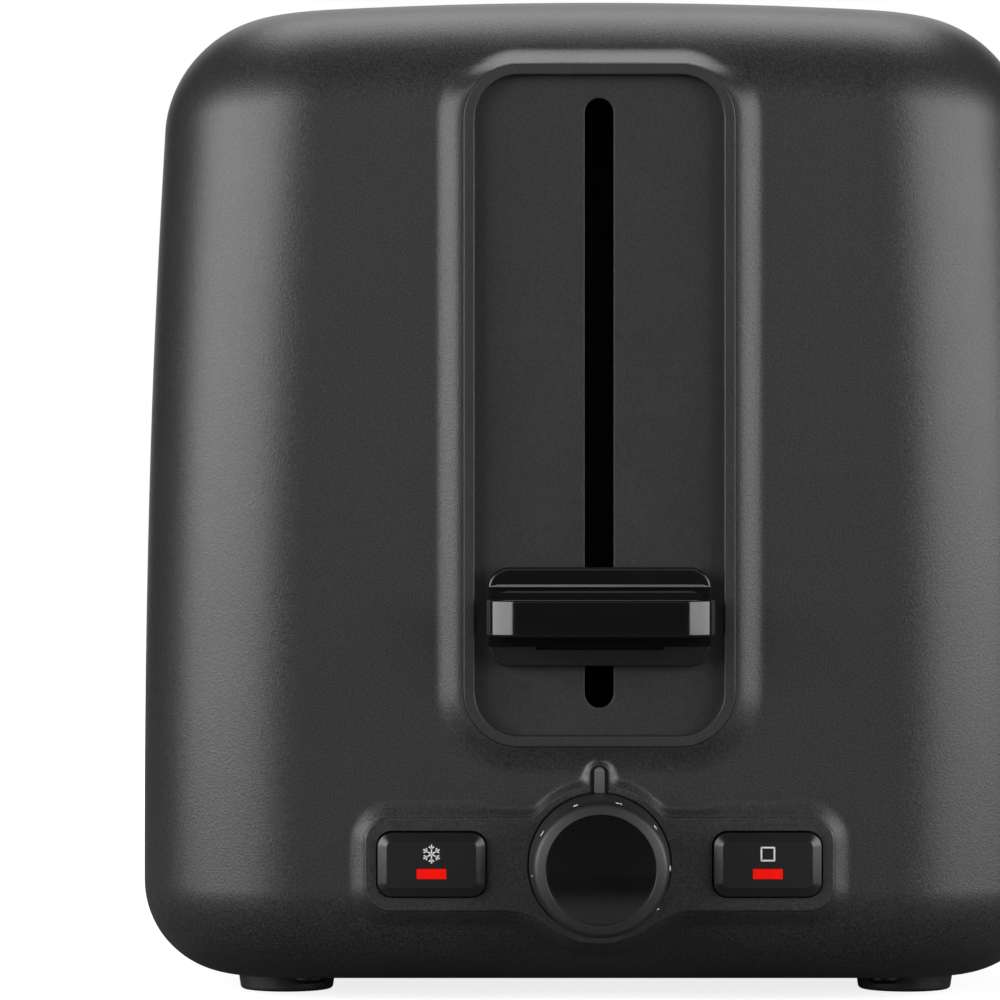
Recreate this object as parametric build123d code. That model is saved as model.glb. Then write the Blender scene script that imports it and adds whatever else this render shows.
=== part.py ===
from build123d import *
from math import radians, sqrt, tan
import os

# A two-slot pop-up toaster, in millimetres. +Z is up and the controls face -Y, so +X is to the
# right of someone who faces them. The origin is on the surface that the feet stand on, under
# the middle of the whole toaster, lever and crumb tray grip included.
# The lever is down and latched, as while bread is toasting.

# ---- Casing: sides that bow outwards, a slightly crowned top, round shoulders and sole
body_width = 180.0
body_length = 272.0
body_top = 196.0
foot_height = 4.0
widest_height = 30.0
side_bow_radius = 2550.0
crown_radius = 1020.0
corner_radius = 32.0
shoulder_radius = 21.0
sole_radius = 18.5
wall = 2.6
base_thickness = 2.5
sole_opening_margin = 3.0

# ---- Lever panel: a raised frame round a shallow recess with the lever's slot
panel_width = 53.4
panel_bottom = 50.3
panel_height = 133.0
panel_corner = 10.7
panel_rise = 1.8
panel_rim = 2.5
panel_recess = 3.0
panel_floor = 2.0
panel_flange = 3.0
flank_slope = 30.0
flank_blend = 5.5
flank_root = 4.5
crest_spread = 0.72
lever_slot_width = 5.6
lever_slot_bottom = 57.8
lever_slot_length = 118.0

# ---- Control pod: a low raised band with a round collar for the knob
control_height = 27.7
pod_width = 91.8
pod_height = 18.2
pod_corner = 5.0
pod_rise = 1.3
pod_slope = 35.0
pod_blend = 1.6
collar_radius = 15.5
collar_blend = 2.2
hood_radius = 2.7
hood_reach = 18.0
pod_root = 1.2
mark_width = 2.1
mark_length = 4.9
mark_bottom = 41.5
mark_depth = 0.9
mark_sink = 0.25

# ---- Browning knob
knob_radius = 13.6
knob_face_radius = 10.9
knob_reach = 16.5
knob_skirt = 2.6
knob_sink = 2.0
knob_dish = 0.5
knob_rim = 0.7
knob_gap = 0.4
shaft_radius = 3.0
shaft_flat = 0.9

# ---- Buttons
button_spacing = 64.8
button_width = 21.5
button_height = 13.0
button_corner = 2.7
button_bevel = 2.0
button_bevel_depth = 1.1
button_rise = 1.9
button_gap = 0.35
button_travel = 1.2
button_flange = 1.2
button_flange_depth = 1.5
plunger_radius = 1.6
lens_width = 5.7
lens_height = 1.9
lens_depth = 1.0
lens_drop = 1.75

# ---- Lever
lever_height = 75.5
lever_reach = 20.0
lever_width = 42.8
lever_plate_height = 19.1
lever_plate_thickness = 3.6
lever_corner = 4.0
lever_gap = 0.6
lever_bevel = 0.8
lever_groove_height = 11.6
lever_groove_depth = 1.6
lever_notch_width = 24.8
lever_notch_depth = 0.6
grip_width = 43.4
grip_height = 7.2
grip_corner = 5.0
grip_edge = 0.5
stem_width = 4.8
stem_height = 12.0
lever_travel = 90.0

# ---- Oven: two slots, four heater cards, four bread guards
slot_spacing = 54.0
slot_width = 32.0
slot_length = 140.0
slot_corner = 4.0
top_plate_margin = 9.0
top_plate_corner = 13.0
top_plate_sink = 0.4
top_plate_flange = 4.0
funnel_wall = 1.0
mechanism_depth = 62.0
oven_length = 150.0
oven_bottom = 17.0
oven_top = 178.0
bulkhead_side_gap = 1.5
sheet = 1.0
leg_gap = 2.0
leg_foot = 9.0
shelf_margin = 3.0
shelf_reach = 10.0
reflector_gap = 11.0
reflector_bottom = 20.0
reflector_foot = 10.0
card_thickness = 0.6
card_end_gap = 4.0
card_bottom = 34.0
card_height = 122.0
card_tongue = 12.0
card_tongue_inset = 4.0
card_notch = 0.8
outer_card_offset = 21.5
inner_card_offset = 21.5
ribbon_width = 1.4
ribbon_thickness = 0.3
ribbon_turns = 12
guard_offset = 11.0
guard_wire = 0.8
guard_bar = 0.6
guard_pivot_height = 33.0
guard_height = 118.0
guard_bars = 9
guard_end_gap = 5.0
guard_lean = 2.5
guard_lean_height = 9.0
guard_bend = 2.5

# ---- Carriage
rod_radius = 2.0
rod_spacing = 32.0
rod_depth = 44.0
carriage_sheet = 2.0
carriage_overhang = 11.0
bush_wall = 2.5
rod_overhang = 2.0
hanger_width = 8.0
crossbar_bottom = 40.0
crossbar_height = 11.0
hub_top = 77.0
hub_width = 42.0
rack_sheet = 1.2
rack_height = 8.0
rack_bottom = 41.5
rack_tab_width = 12.0
rack_tab_length = 6.0
rack_tabs = 9
rack_notch = 2.0
rack_end_gap = 10.0
rack_overhang = 6.0
rack_root_width = 8.0
spring_radius = 3.2
spring_wire = 0.45
spring_side = 6.0
spring_turns = 14

# ---- Latch magnet and electronics
yoke_width = 22.0
yoke_depth = 12.0
yoke_leg = 3.0
yoke_height = 15.5
armature_thickness = 2.0
armature_gap = 0.3
board_depth = 24.0
board_thickness = 1.6
board_side_gap = 2.5
post_radius = 3.0
board_screw_radius = 2.6
board_screw_head = 1.6
post_inset = 4.0
board_bottom = 11.0
board_height = 35.0
pot_radius = 8.5
pot_depth = 6.5
switch_size = 6.0
switch_depth = 4.0
switch_plunger = 1.5
switch_lift = 2.6
lamp_radius = 1.5
lamp_drop = 4.4
lamp_length = 5.0
pot_socket = 4.0
relay_size = (15.0, 13.0, 18.0)
relay_side = 24.0
relay_rise = 2.0
terminal_size = (24.0, 12.0, 14.0)
terminal_bottom = 56.0
terminal_wire = 2.6
terminal_pitch = 7.0

# ---- Crumb tray, base, feet and rear
tray_width = 100.0
tray_floor = 8.0
tray_wall = 7.0
tray_sheet = 0.8
tray_handle_top = 20.0
tray_grip_width = 44.0
tray_grip_reach = 5.0
tray_grip_thickness = 2.4
tray_grip_corner = 3.5
tray_front_gap = 3.0
tray_rear_gap = 2.0
rail_thickness = 2.0
rail_height = 5.5
rail_rear_gap = 6.0
runner_width = 2.0
foot_radius = 9.8
foot_taper = 0.6
foot_edge = 0.8
foot_side_inset = 28.0
foot_inset = 40.0
foot_stud = 3.0
vent_width = 1.6
vent_length = 34.0
vent_count = 7
vent_pitch = 4.0
vent_front_inset = 39.0
vent_rear_inset = 37.0
vent_bridge = 8.0
gland_x = 44.0
gland_z = 40.0
gland_bore = 3.7
gland_radius = 5.5
gland_flange = 8.5
gland_reach = 2.5
gland_tail = 5.0
pillar_radius = 4.5
pillar_inset = 27.0
pillar_height = 44.0
screw_radius = 1.5
screw_head_radius = 3.2
screw_head = 1.8

# ---- Clearances
seat_gap = 0.1
run_gap = 0.06
slide_gap = 0.4
fit_gap = 0.3

# ---- Places that follow from the sizes above
middle = (lever_reach - tray_grip_reach) / 2
front = middle - body_length / 2
rear = middle + body_length / 2
oven_front = front + mechanism_depth
oven_rear = oven_front + oven_length
card_length = oven_length - 2 * card_end_gap
oven_middle = (oven_front + oven_rear) / 2
base_top = foot_height + base_thickness
panel_top = panel_bottom + panel_height
panel_face = front - panel_rise
floor_face = panel_face + panel_recess
pod_face = front - pod_rise
board_front = front + board_depth
board_back = board_front + board_thickness
rod_y = front + rod_depth
slots = (-slot_spacing / 2, slot_spacing / 2)
slot_side = (slot_spacing + slot_width) / 2
sole_half = body_width / 2 - sole_radius - sole_opening_margin
bulkhead_half = sole_half - bulkhead_side_gap
rail_outside = tray_width / 2 + slide_gap + rail_thickness
pillar_x = rail_outside + seat_gap + pillar_radius
board_half = pillar_x - pillar_radius - board_side_gap
board_post_x = (post_inset - board_half, board_half - post_inset)
board_post_z = (board_bottom + post_inset, board_bottom + board_height - post_inset)
carriage_half = slot_spacing / 2 + carriage_overhang
card_tongues = (card_bottom + card_tongue_inset,
                card_bottom + card_height - card_tongue - card_tongue_inset)
tray_near = oven_front + tray_front_gap
tray_far = rear - sole_radius - tray_rear_gap
buttons = {"defrost": -button_spacing / 2, "stop": button_spacing / 2}
nodes = {}


def block(x, y, z):
    """A box between two limits along each axis."""
    centre = ((x[0] + x[1]) / 2, (y[0] + y[1]) / 2, (z[0] + z[1]) / 2)
    return Pos(*centre) * Box(x[1] - x[0], y[1] - y[0], z[1] - z[0])


def slab(outline, near, far):
    """An outline drawn in XZ, made solid from y = near to y = far."""
    return extrude(Plane.XZ.offset(-far) * outline, amount=far - near)


def prism(outline, low, high):
    """An outline drawn in XY, made solid from z = low to z = high."""
    return extrude(Pos(0, 0, low) * outline, amount=high - low)


def pin_y(x, z, radius, near, far):
    """A round bar along Y."""
    return Pos(x, (near + far) / 2, z) * Rot(90, 0, 0) * Cylinder(radius, far - near)


def pin_z(x, y, radius, low, high):
    """A round bar along Z."""
    return Pos(x, y, (low + high) / 2) * Cylinder(radius, high - low)


def window(width, bottom, height, corner, x=0.0):
    """A rounded rectangle in XZ, standing on a given height."""
    return Pos(x, bottom + height / 2) * RectangleRounded(width, height, corner)


def casing_form(inset):
    """The casing's outer form, or the same form a distance inside it."""
    low = foot_height + inset
    high = body_top - inset
    sections = []
    for z in (low, widest_height, (widest_height + high) / 2, high):
        narrowing = side_bow_radius - sqrt(side_bow_radius ** 2 - (z - widest_height) ** 2)
        width = body_width - 2 * (narrowing + inset)
        outline = RectangleRounded(width, body_length - 2 * inset, corner_radius - inset)
        sections.append(Pos(0, middle, z) * outline)
    crown = crown_radius - inset
    form = loft(sections) & pin_y(0, high - crown, crown, front, rear)
    form = fillet(form.faces().sort_by(Axis.Z)[-1].edges(), shoulder_radius - inset)
    return fillet(form.faces().sort_by(Axis.Z)[0].edges(), sole_radius - inset)


def edges_on(part, y, x_reach, z_low, z_high):
    """The edges that lie in the plane at y, within a height and a distance from the middle."""
    found = []
    for edge in part.edges():
        points = (edge @ 0, edge @ 0.5, edge @ 1)
        flat = all(abs(point.Y - y) < 0.02 for point in points)
        inside = all(abs(p.X) < x_reach and z_low < p.Z < z_high for p in points)
        if flat and inside:
            found.append(edge)
    return found


def with_lever_boss(form):
    """The soft raised boss round the lever panel, blended into the casing's front."""
    ease = flank_blend * tan(radians(flank_slope / 2)) + seat_gap
    spread = (panel_rise + flank_root) / tan(radians(flank_slope))
    crest = (panel_rise + flank_root) * crest_spread
    top = window(panel_width + 2 * ease, panel_bottom - ease,
                 panel_height + 1.5 * ease, panel_corner + 0.7 * ease)
    root = window(panel_width + 2 * (ease + spread), panel_bottom - ease - spread,
                  panel_height + 1.5 * ease + spread + crest, panel_corner + 0.7 * (ease + spread))
    face = Plane.XZ.offset(-panel_face) * top
    foot = Plane.XZ.offset(-front - flank_root) * root
    body = form + loft([face, foot], ruled=True)
    reach = panel_width / 2 + ease + spread + 1
    body = fillet(edges_on(body, front, reach, control_height, panel_top + ease), flank_blend)
    return fillet(edges_on(body, panel_face, reach, 0, body_top), flank_blend * 0.98)


def pod_outline(grow):
    """The band, the knob's collar and the hood over the pointer, as one outline."""
    band = window(pod_width + 2 * grow, control_height - pod_height / 2 - grow,
                  pod_height + 2 * grow, pod_corner + grow)
    collar = Pos(0, control_height) * Circle(collar_radius + grow)
    hood = Pos(0, control_height + hood_reach) * Circle(hood_radius + grow)
    neck = Pos(0, control_height + hood_reach / 2) * Rectangle(2 * (hood_radius + grow), hood_reach)
    return band + collar + hood + neck


def with_control_pod(body):
    """The control pod with its sloping flanks, blended into the casing's front."""
    ease = pod_blend * tan(radians(pod_slope / 2))
    outline = pod_outline(ease)
    joints = []
    for corner in outline.vertices():
        beside_collar = collar_radius * 0.6 < abs(corner.X) < collar_radius
        under_hood = abs(corner.X) < hood_radius * 2 and corner.Y < control_height + hood_reach - 1
        if beside_collar or under_hood:
            joints.append(corner)
    outline = fillet(joints, collar_blend)
    pod = extrude(Plane.XZ.offset(-pod_face) * outline, amount=-(pod_rise + pod_root),
                  taper=-(90 - pod_slope))
    joined = body + pod
    known = [edge.center() for edge in body.edges()]
    foot = []
    for edge in edges_on(joined, front, pod_width / 2 + 8, sole_radius / 2, panel_bottom):
        if all((edge.center() - point).length > 0.01 for point in known):
            foot.append(edge)
    return fillet(foot, pod_blend)


def screw_pillars():
    """Four pillars inside the casing that take the base screws."""
    pillars = []
    for x in (-pillar_x, pillar_x):
        for y, wall_y in ((front + pillar_inset, front), (rear - pillar_inset, rear)):
            post = pin_z(x, y, pillar_radius, base_top, base_top + pillar_height)
            side = body_width / 2 if x > 0 else -body_width / 2
            web = block(sorted((x, side)), (y - wall / 2, y + wall / 2),
                        (base_top, base_top + pillar_height))
            rib = block((x - wall / 2, x + wall / 2), sorted((y, wall_y)),
                        (base_top, base_top + pillar_height))
            pillars.append(post + web + rib)
    return Compound(pillars)


def board_posts():
    """Four posts on the casing's front wall that carry the circuit board."""
    posts = []
    for x in board_post_x:
        for z in board_post_z:
            posts.append(pin_y(x, z, post_radius, front, board_front))
    return Compound(posts)


def button_holes(gap):
    """The two button openings, larger than the buttons by a gap all round."""
    holes = []
    for x in buttons.values():
        outline = window(button_width - 2 * button_gap + 2 * gap,
                         control_height - button_height / 2 + button_gap - gap,
                         button_height - 2 * button_gap + 2 * gap, button_corner, x)
        holes.append(outline)
    return holes


def sole_outline(gap):
    """The opening under the casing, or what fits it with a gap."""
    width = 2 * (sole_half - gap)
    length = body_length - 2 * (sole_radius + sole_opening_margin + gap)
    return Pos(0, middle) * RectangleRounded(width, length, corner_radius - sole_radius - gap)


def top_outline(grow):
    """The outline of the slot plate in the casing's top."""
    width = 2 * (slot_side + top_plate_margin + grow)
    length = slot_length + 2 * (top_plate_margin + grow)
    return Pos(0, oven_middle) * RectangleRounded(width, length, top_plate_corner + grow)


# ======== Casing ========
outer = casing_form(0)
inner = casing_form(wall)
core = casing_form(wall / 2)
shell = with_control_pod(with_lever_boss(outer)) - inner
shell = shell + (core & screw_pillars()) + (core & board_posts())
shell -= prism(sole_outline(0), 0, base_top + wall)
for x in (-pillar_x, pillar_x):
    for y in (front + pillar_inset, rear - pillar_inset):
        shell -= pin_z(x, y, screw_radius + run_gap, 0, base_top + pillar_height / 2)
shell -= prism(top_outline(0), oven_top, body_top + wall)
shell -= slab(window(panel_width, panel_bottom, panel_height, panel_corner),
              panel_face - 1, front + flank_root * 2)
for hole in button_holes(button_gap):
    shell -= slab(hole, pod_face - 1, board_front - 6)
shell -= pin_y(0, control_height, knob_radius + knob_gap, pod_face - 1, pod_face + knob_sink)
shell -= pin_y(0, control_height, shaft_radius + knob_gap, pod_face - 1, board_front - 1)
mark_outline = window(mark_width, mark_bottom, mark_length, mark_width / 2 - 0.01)
shell -= slab(mark_outline, pod_face - 1, pod_face + mark_sink + mark_depth)
tray_door = block((-tray_width / 2, tray_width / 2), (tray_far, rear + wall),
                  (foot_height + wall + slide_gap, tray_handle_top))
tray_hole = block((-tray_width / 2 - slide_gap, tray_width / 2 + slide_gap), (tray_far, rear + wall),
                  (foot_height + wall, tray_handle_top + slide_gap))
shell -= tray_hole
shell -= pin_y(gland_x, gland_z, gland_radius + run_gap, rear - wall * 2, rear + wall)
nodes["housing"] = shell
nodes["pointer_mark"] = slab(mark_outline, pod_face + mark_sink, pod_face + mark_sink + mark_depth)

# The lever panel: rim, recessed floor with the slot, and a flange behind the casing's wall
rim = slab(window(panel_width - 2 * seat_gap, panel_bottom + seat_gap,
                  panel_height - 2 * seat_gap, panel_corner), panel_face, floor_face + panel_floor)
recess = window(panel_width - 2 * panel_rim, panel_bottom + panel_rim,
                panel_height - 2 * panel_rim, panel_corner - panel_rim)
flange = slab(window(panel_width + 2 * panel_flange, panel_bottom - panel_flange,
                     panel_height + 2 * panel_flange, panel_corner),
              front + wall + seat_gap, front + wall + seat_gap + panel_floor)
throat = slab(window(panel_width - 2 * panel_rim, panel_bottom + panel_rim,
                     panel_height - 2 * panel_rim, panel_corner - panel_rim),
              floor_face + panel_floor, front + wall + seat_gap + panel_floor)
behind = slab(window(panel_width - 2 * seat_gap, panel_bottom + seat_gap,
                     panel_height - 2 * seat_gap, panel_corner),
              floor_face, front + wall + seat_gap + panel_floor)
lever_slot = window(lever_slot_width, lever_slot_bottom, lever_slot_length,
                    lever_slot_width / 2 - 0.01)
lever_panel = rim + behind + (flange & casing_form(wall + seat_gap))
lever_panel -= slab(recess, panel_face - 1, floor_face)
lever_panel -= throat
lever_panel -= slab(lever_slot, panel_face - 1, front + wall + panel_floor + 1)
nodes["lever_panel"] = lever_panel

# The slot plate in the top, with a funnel round each slot
top_skin = casing_form(top_plate_sink) - casing_form(wall + seat_gap + sheet)
skin = top_skin & prism(top_outline(-seat_gap), oven_top, body_top)
under = casing_form(wall + seat_gap) - casing_form(wall + seat_gap + sheet)
lip = under & prism(top_outline(top_plate_flange), oven_top, body_top)
top_plate = skin + lip
for x in slots:
    funnel = Pos(x, oven_middle) * RectangleRounded(slot_width + 2 * funnel_wall,
                                                    slot_length + 2 * funnel_wall,
                                                    slot_corner + funnel_wall)
    top_plate += prism(funnel, oven_top, body_top - wall - 1.5)
for x in slots:
    mouth = Pos(x, oven_middle) * RectangleRounded(slot_width, slot_length, slot_corner)
    top_plate -= prism(mouth, oven_top - 1, body_top + 1)
nodes["top_plate"] = top_plate

# ======== Base, feet and screws ========
base = prism(sole_outline(fit_gap), foot_height, base_top)
for side in (-1, 1):
    rail_length = (oven_front, rear - sole_radius - rail_rear_gap)
    rail = sorted((side * (rail_outside - rail_thickness), side * rail_outside))
    base += block(rail, rail_length, (base_top, base_top + rail_height))
    runner_x = side * tray_width / 4
    base += block((runner_x - runner_width / 2, runner_x + runner_width / 2), rail_length,
                  (base_top, tray_floor - 2 * seat_gap))
for row_y in (front + vent_front_inset, rear - vent_rear_inset):
    for index in range(vent_count):
        y = row_y + (index - (vent_count - 1) / 2) * vent_pitch
        for side in (-1, 1):
            x = side * (vent_length + vent_bridge) / 2
            base -= block((x - vent_length / 2, x + vent_length / 2),
                          (y - vent_width / 2, y + vent_width / 2), (0, base_top + 1))
foot_places = {}
for end, y in (("front", front + foot_inset), ("rear", rear - foot_inset)):
    for side, sign in (("left", -1), ("right", 1)):
        foot_places[f"foot_{end}_{side}"] = (sign * (body_width / 2 - foot_side_inset), y)
for name, (x, y) in foot_places.items():
    base -= pin_z(x, y, foot_stud + run_gap, 0, base_top + 1)
    pad = Pos(x, y, foot_height / 2) * Cone(foot_radius - foot_taper, foot_radius, foot_height)
    pad = fillet(pad.edges().sort_by(Axis.Z)[0], foot_edge)
    nodes[name] = pad + pin_z(x, y, foot_stud, foot_height, base_top)
screws = []
for x in (-pillar_x, pillar_x):
    for y in (front + pillar_inset, rear - pillar_inset):
        base -= pin_z(x, y, screw_radius + fit_gap, 0, base_top + 1)
        head = pin_z(x, y, screw_head_radius, foot_height - screw_head, foot_height)
        head = fillet(head.edges().sort_by(Axis.Z)[0], screw_head / 2)
        screws.append(head + pin_z(x, y, screw_radius, foot_height, base_top + pillar_height / 3))
nodes["base_screws"] = Compound(screws)

# ======== Oven ========
def bulkhead(near, reach):
    """A sheet wall at one end of the oven, with legs, feet and the slots that the oven needs."""
    far = near + sheet
    plate = block((-bulkhead_half, bulkhead_half), (near, far), (oven_bottom, oven_top))
    for side in (-1, 1):
        leg = sorted((side * bulkhead_half, side * (rail_outside + leg_gap)))
        plate += block(leg, (near, far), (base_top, oven_bottom))
        toe = sorted((near if reach > 0 else far, near + reach))
        plate += block(leg, toe, (base_top, base_top + sheet))
    for x in slots:
        plate -= block((x - rack_sheet / 2 - slide_gap, x + rack_sheet / 2 + slide_gap),
                       (near - 1, far + 1),
                       (rack_bottom - 1, rack_bottom + rack_height + lever_travel + 1))
        for side in (-1, 1):
            guard_x = x + side * guard_offset
            plate -= pin_y(guard_x, guard_pivot_height, guard_wire + run_gap, near - 1, far + 1)
            card_x = x + side * outer_card_offset
            card_half = card_thickness / 2 + seat_gap
            for z in card_tongues:
                plate -= block((card_x - card_half, card_x + card_half), (near - 1, far + 1),
                               (z - seat_gap, z + card_tongue + seat_gap))
    return plate


front_wall = bulkhead(oven_front - sheet, sheet + leg_foot)
rear_wall = bulkhead(oven_rear, -leg_foot)
rod_shelf = rod_spacing / 2 + rod_radius + shelf_margin
for z, half in ((oven_bottom, rod_shelf), (oven_top - sheet, carriage_half)):
    front_wall += block((-half, half), (rod_y - shelf_reach, oven_front - sheet), (z, z + sheet))
for x in (-rod_spacing / 2, rod_spacing / 2):
    front_wall -= pin_z(x, rod_y, rod_radius + run_gap, 0, body_top)
nodes["front_bulkhead"] = front_wall
nodes["rear_bulkhead"] = rear_wall

for side_name, side in (("left", -1), ("right", 1)):
    x = side * (slot_side + reflector_gap)
    ends = (oven_front + seat_gap, oven_rear - seat_gap)
    panel = block((x - sheet / 2, x + sheet / 2), ends, (reflector_bottom, oven_top))
    top_x = side * (slot_side + funnel_wall + 2 * seat_gap)
    panel += block(sorted((x, top_x)), ends, (oven_top, oven_top + sheet))
    foot_x = x + side * reflector_foot
    panel += block(sorted((x, foot_x)), ends, (reflector_bottom, reflector_bottom + sheet))
    nodes[f"reflector_{side_name}"] = panel

card_places = {
    "outer_left": slots[0] - outer_card_offset,
    "inner_left": slots[0] + inner_card_offset,
    "inner_right": slots[1] - inner_card_offset,
    "outer_right": slots[1] + outer_card_offset,
}
for name, x in card_places.items():
    thickness = (x - card_thickness / 2, x + card_thickness / 2)
    card = block(thickness, (oven_middle - card_length / 2, oven_middle + card_length / 2),
                 (card_bottom, card_bottom + card_height))
    for z in card_tongues:
        card += block(thickness, (oven_front - sheet, oven_rear + sheet), (z, z + card_tongue))
    lowest = card_tongues[0] + card_tongue + ribbon_width
    highest = card_tongues[1] - ribbon_width
    heights = [lowest + (highest - lowest) * turn / (ribbon_turns - 1) for turn in range(ribbon_turns)]
    ring_end = card_length / 2 - card_notch
    for z in heights:
        for side in (-1, 1):
            notch = sorted((oven_middle + side * ring_end, oven_middle + side * (card_length / 2 + 1)))
            card -= block((x - 1, x + 1), notch, (z - ribbon_width / 2 - seat_gap,
                                                  z + ribbon_width / 2 + seat_gap))
    turns = []
    for z in heights:
        half = card_thickness / 2 + ribbon_thickness
        ring = block((x - half, x + half),
                     (oven_middle - ring_end - ribbon_thickness, oven_middle + ring_end + ribbon_thickness),
                     (z - ribbon_width / 2, z + ribbon_width / 2))
        turns.append(ring - card)
    nodes[f"heater_card_{name}"] = card
    nodes[f"heater_ribbon_{name}"] = Compound(turns)

guard_places = {
    "outer_left": slots[0] - guard_offset,
    "inner_left": slots[0] + guard_offset,
    "inner_right": slots[1] - guard_offset,
    "outer_right": slots[1] + guard_offset,
}
for name, x in guard_places.items():
    away = -1 if name in ("outer_left", "inner_right") else 1
    guard = pin_y(x, guard_pivot_height, guard_wire, oven_front - sheet - 1, oven_rear + sheet + 1)
    low = oven_front + guard_end_gap
    high = oven_rear - guard_end_gap
    guard_top = guard_pivot_height + guard_height
    for z in (guard_pivot_height + guard_height / 2, guard_top):
        guard += pin_y(x, z, guard_wire, low, high)
    for index in range(guard_bars):
        y = low + guard_wire + (high - low - 2 * guard_wire) * index / (guard_bars - 1)
        tip = (x + away * guard_lean, y, guard_top + guard_lean_height)
        line = FilletPolyline((x, y, guard_pivot_height), (x, y, guard_top + guard_bend), tip,
                              radius=guard_bend)
        profile = Plane(line @ 0, z_dir=line % 0) * Circle(guard_bar)
        guard += sweep(profile, path=line)
    nodes[f"bread_guard_{name}"] = guard

# ======== Carriage ========
for side_name, x in (("left", -rod_spacing / 2), ("right", rod_spacing / 2)):
    nodes[f"guide_rod_{side_name}"] = pin_z(x, rod_y, rod_radius, oven_bottom - rod_overhang,
                                            oven_top + rod_overhang)

bracket_depth = (rod_y - carriage_sheet / 2, rod_y + carriage_sheet / 2)
bracket = block((-carriage_half, carriage_half), bracket_depth,
                (crossbar_bottom, crossbar_bottom + crossbar_height))
bracket += block((-hub_width / 2, hub_width / 2), bracket_depth, (crossbar_bottom, hub_top))
shoulders = bracket.edges().filter_by(Axis.Y).group_by(Axis.Z)[-1]
bracket = fillet(shoulders, crossbar_height / 2)
for x in (-rod_spacing / 2, rod_spacing / 2):
    bracket += pin_z(x, rod_y, rod_radius + bush_wall, crossbar_bottom, hub_top)
for x in (-rod_spacing / 2, rod_spacing / 2):
    bracket -= pin_z(x, rod_y, rod_radius + run_gap, 0, body_top)
armature_bottom = oven_bottom + sheet + yoke_height + armature_gap
bracket += block((-hanger_width / 2, hanger_width / 2), bracket_depth,
                 (armature_bottom + armature_thickness, crossbar_bottom))
nodes["carriage_bracket"] = bracket
nodes["armature_plate"] = block((-yoke_width / 2, yoke_width / 2),
                                (rod_y - yoke_depth / 2, rod_y + yoke_depth / 2),
                                (armature_bottom, armature_bottom + armature_thickness))

for side_name, x in (("left", slots[0]), ("right", slots[1])):
    rack_top = rack_bottom + rack_height
    rack = block((x - rack_sheet / 2, x + rack_sheet / 2),
                 (bracket_depth[1], oven_rear + sheet + rack_overhang), (rack_bottom, rack_top))
    rack += block((x - rack_root_width / 2, x + rack_root_width / 2),
                  (bracket_depth[1], bracket_depth[1] + rack_sheet), (rack_bottom, rack_top))
    first = oven_front + rack_end_gap
    pitch = (oven_length - 2 * rack_end_gap) / (rack_tabs - 1)
    for index in range(rack_tabs):
        y = first + index * pitch
        rack += block((x - rack_tab_width / 2, x + rack_tab_width / 2),
                      (y - rack_tab_length / 2, y + rack_tab_length / 2),
                      (rack_top - rack_sheet, rack_top))
    for index in range(rack_tabs - 1):
        gap_near = first + index * pitch + rack_tab_length / 2 + rack_notch
        gap_far = first + (index + 1) * pitch - rack_tab_length / 2 - rack_notch
        rack -= block((x - rack_sheet, x + rack_sheet), (gap_near, gap_far),
                      (rack_top - rack_notch, rack_top + 1))
    nodes[f"bread_rack_{side_name}"] = rack

spring_bottom = crossbar_bottom + crossbar_height + spring_wire + seat_gap
coil_length = oven_top - sheet - spring_wire - seat_gap - spring_bottom
helix = Helix(coil_length / spring_turns, coil_length, spring_radius)
profile = Plane(helix @ 0, z_dir=helix % 0) * Circle(spring_wire)
coil = sweep(profile, path=helix, is_frenet=True)
nodes["lift_spring"] = Pos(-slot_spacing / 2 - spring_side, rod_y, spring_bottom) * coil

plate_far = floor_face - lever_gap
plate_near = plate_far - lever_plate_thickness
plate_bottom = lever_height - lever_plate_height / 2
lever = slab(window(lever_width, plate_bottom, lever_plate_height, lever_corner), plate_near, plate_far)
lever = chamfer(lever.faces().sort_by(Axis.Y)[0].edges(), lever_bevel)
lever -= block((-lever_width, lever_width), (plate_near - 1, plate_near + lever_groove_depth),
               (lever_height - lever_groove_height / 2, lever_height + lever_groove_height / 2))
notch_bottom = lever_height - lever_groove_height / 2 - lever_notch_depth
lever -= block((-lever_notch_width / 2, lever_notch_width / 2),
               (plate_near - 1, plate_near + lever_groove_depth), (notch_bottom, lever_height))
grip_front = front - lever_reach
grip = block((-grip_width / 2, grip_width / 2), (grip_front, plate_near + lever_groove_depth),
             (lever_height - grip_height / 2, lever_height + grip_height / 2))
grip = fillet(grip.edges().filter_by(Axis.Z).sort_by(Axis.Y)[:2], grip_corner)
grip = fillet(grip.faces().sort_by(Axis.Y)[0].edges(), grip_edge)
lever += grip
nodes["lever_handle"] = lever
nodes["lever_stem"] = block((-stem_width / 2, stem_width / 2), (plate_far, bracket_depth[0]),
                            (lever_height - stem_height / 2, lever_height + stem_height / 2))

# ======== Latch magnet ========
magnet_bottom = oven_bottom + sheet
magnet_top = magnet_bottom + yoke_height
yoke_y = (rod_y - yoke_depth / 2, rod_y + yoke_depth / 2)
yoke = block((-yoke_width / 2, yoke_width / 2), yoke_y, (magnet_bottom, magnet_bottom + yoke_leg))
for x in (-(yoke_width - yoke_leg) / 2, 0, (yoke_width - yoke_leg) / 2):
    yoke += block((x - yoke_leg / 2, x + yoke_leg / 2), yoke_y, (magnet_bottom, magnet_top))
nodes["magnet_yoke"] = yoke
coil_half = yoke_width / 2 - yoke_leg - seat_gap
winding = block((-coil_half, coil_half), (yoke_y[0] - 2, yoke_y[1] + 2),
                (magnet_bottom + yoke_leg + seat_gap, magnet_top - 1))
nodes["magnet_coil"] = winding - block((-yoke_leg / 2 - seat_gap, yoke_leg / 2 + seat_gap),
                                       (yoke_y[0] - seat_gap, yoke_y[1] + seat_gap), (0, body_top))

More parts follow.
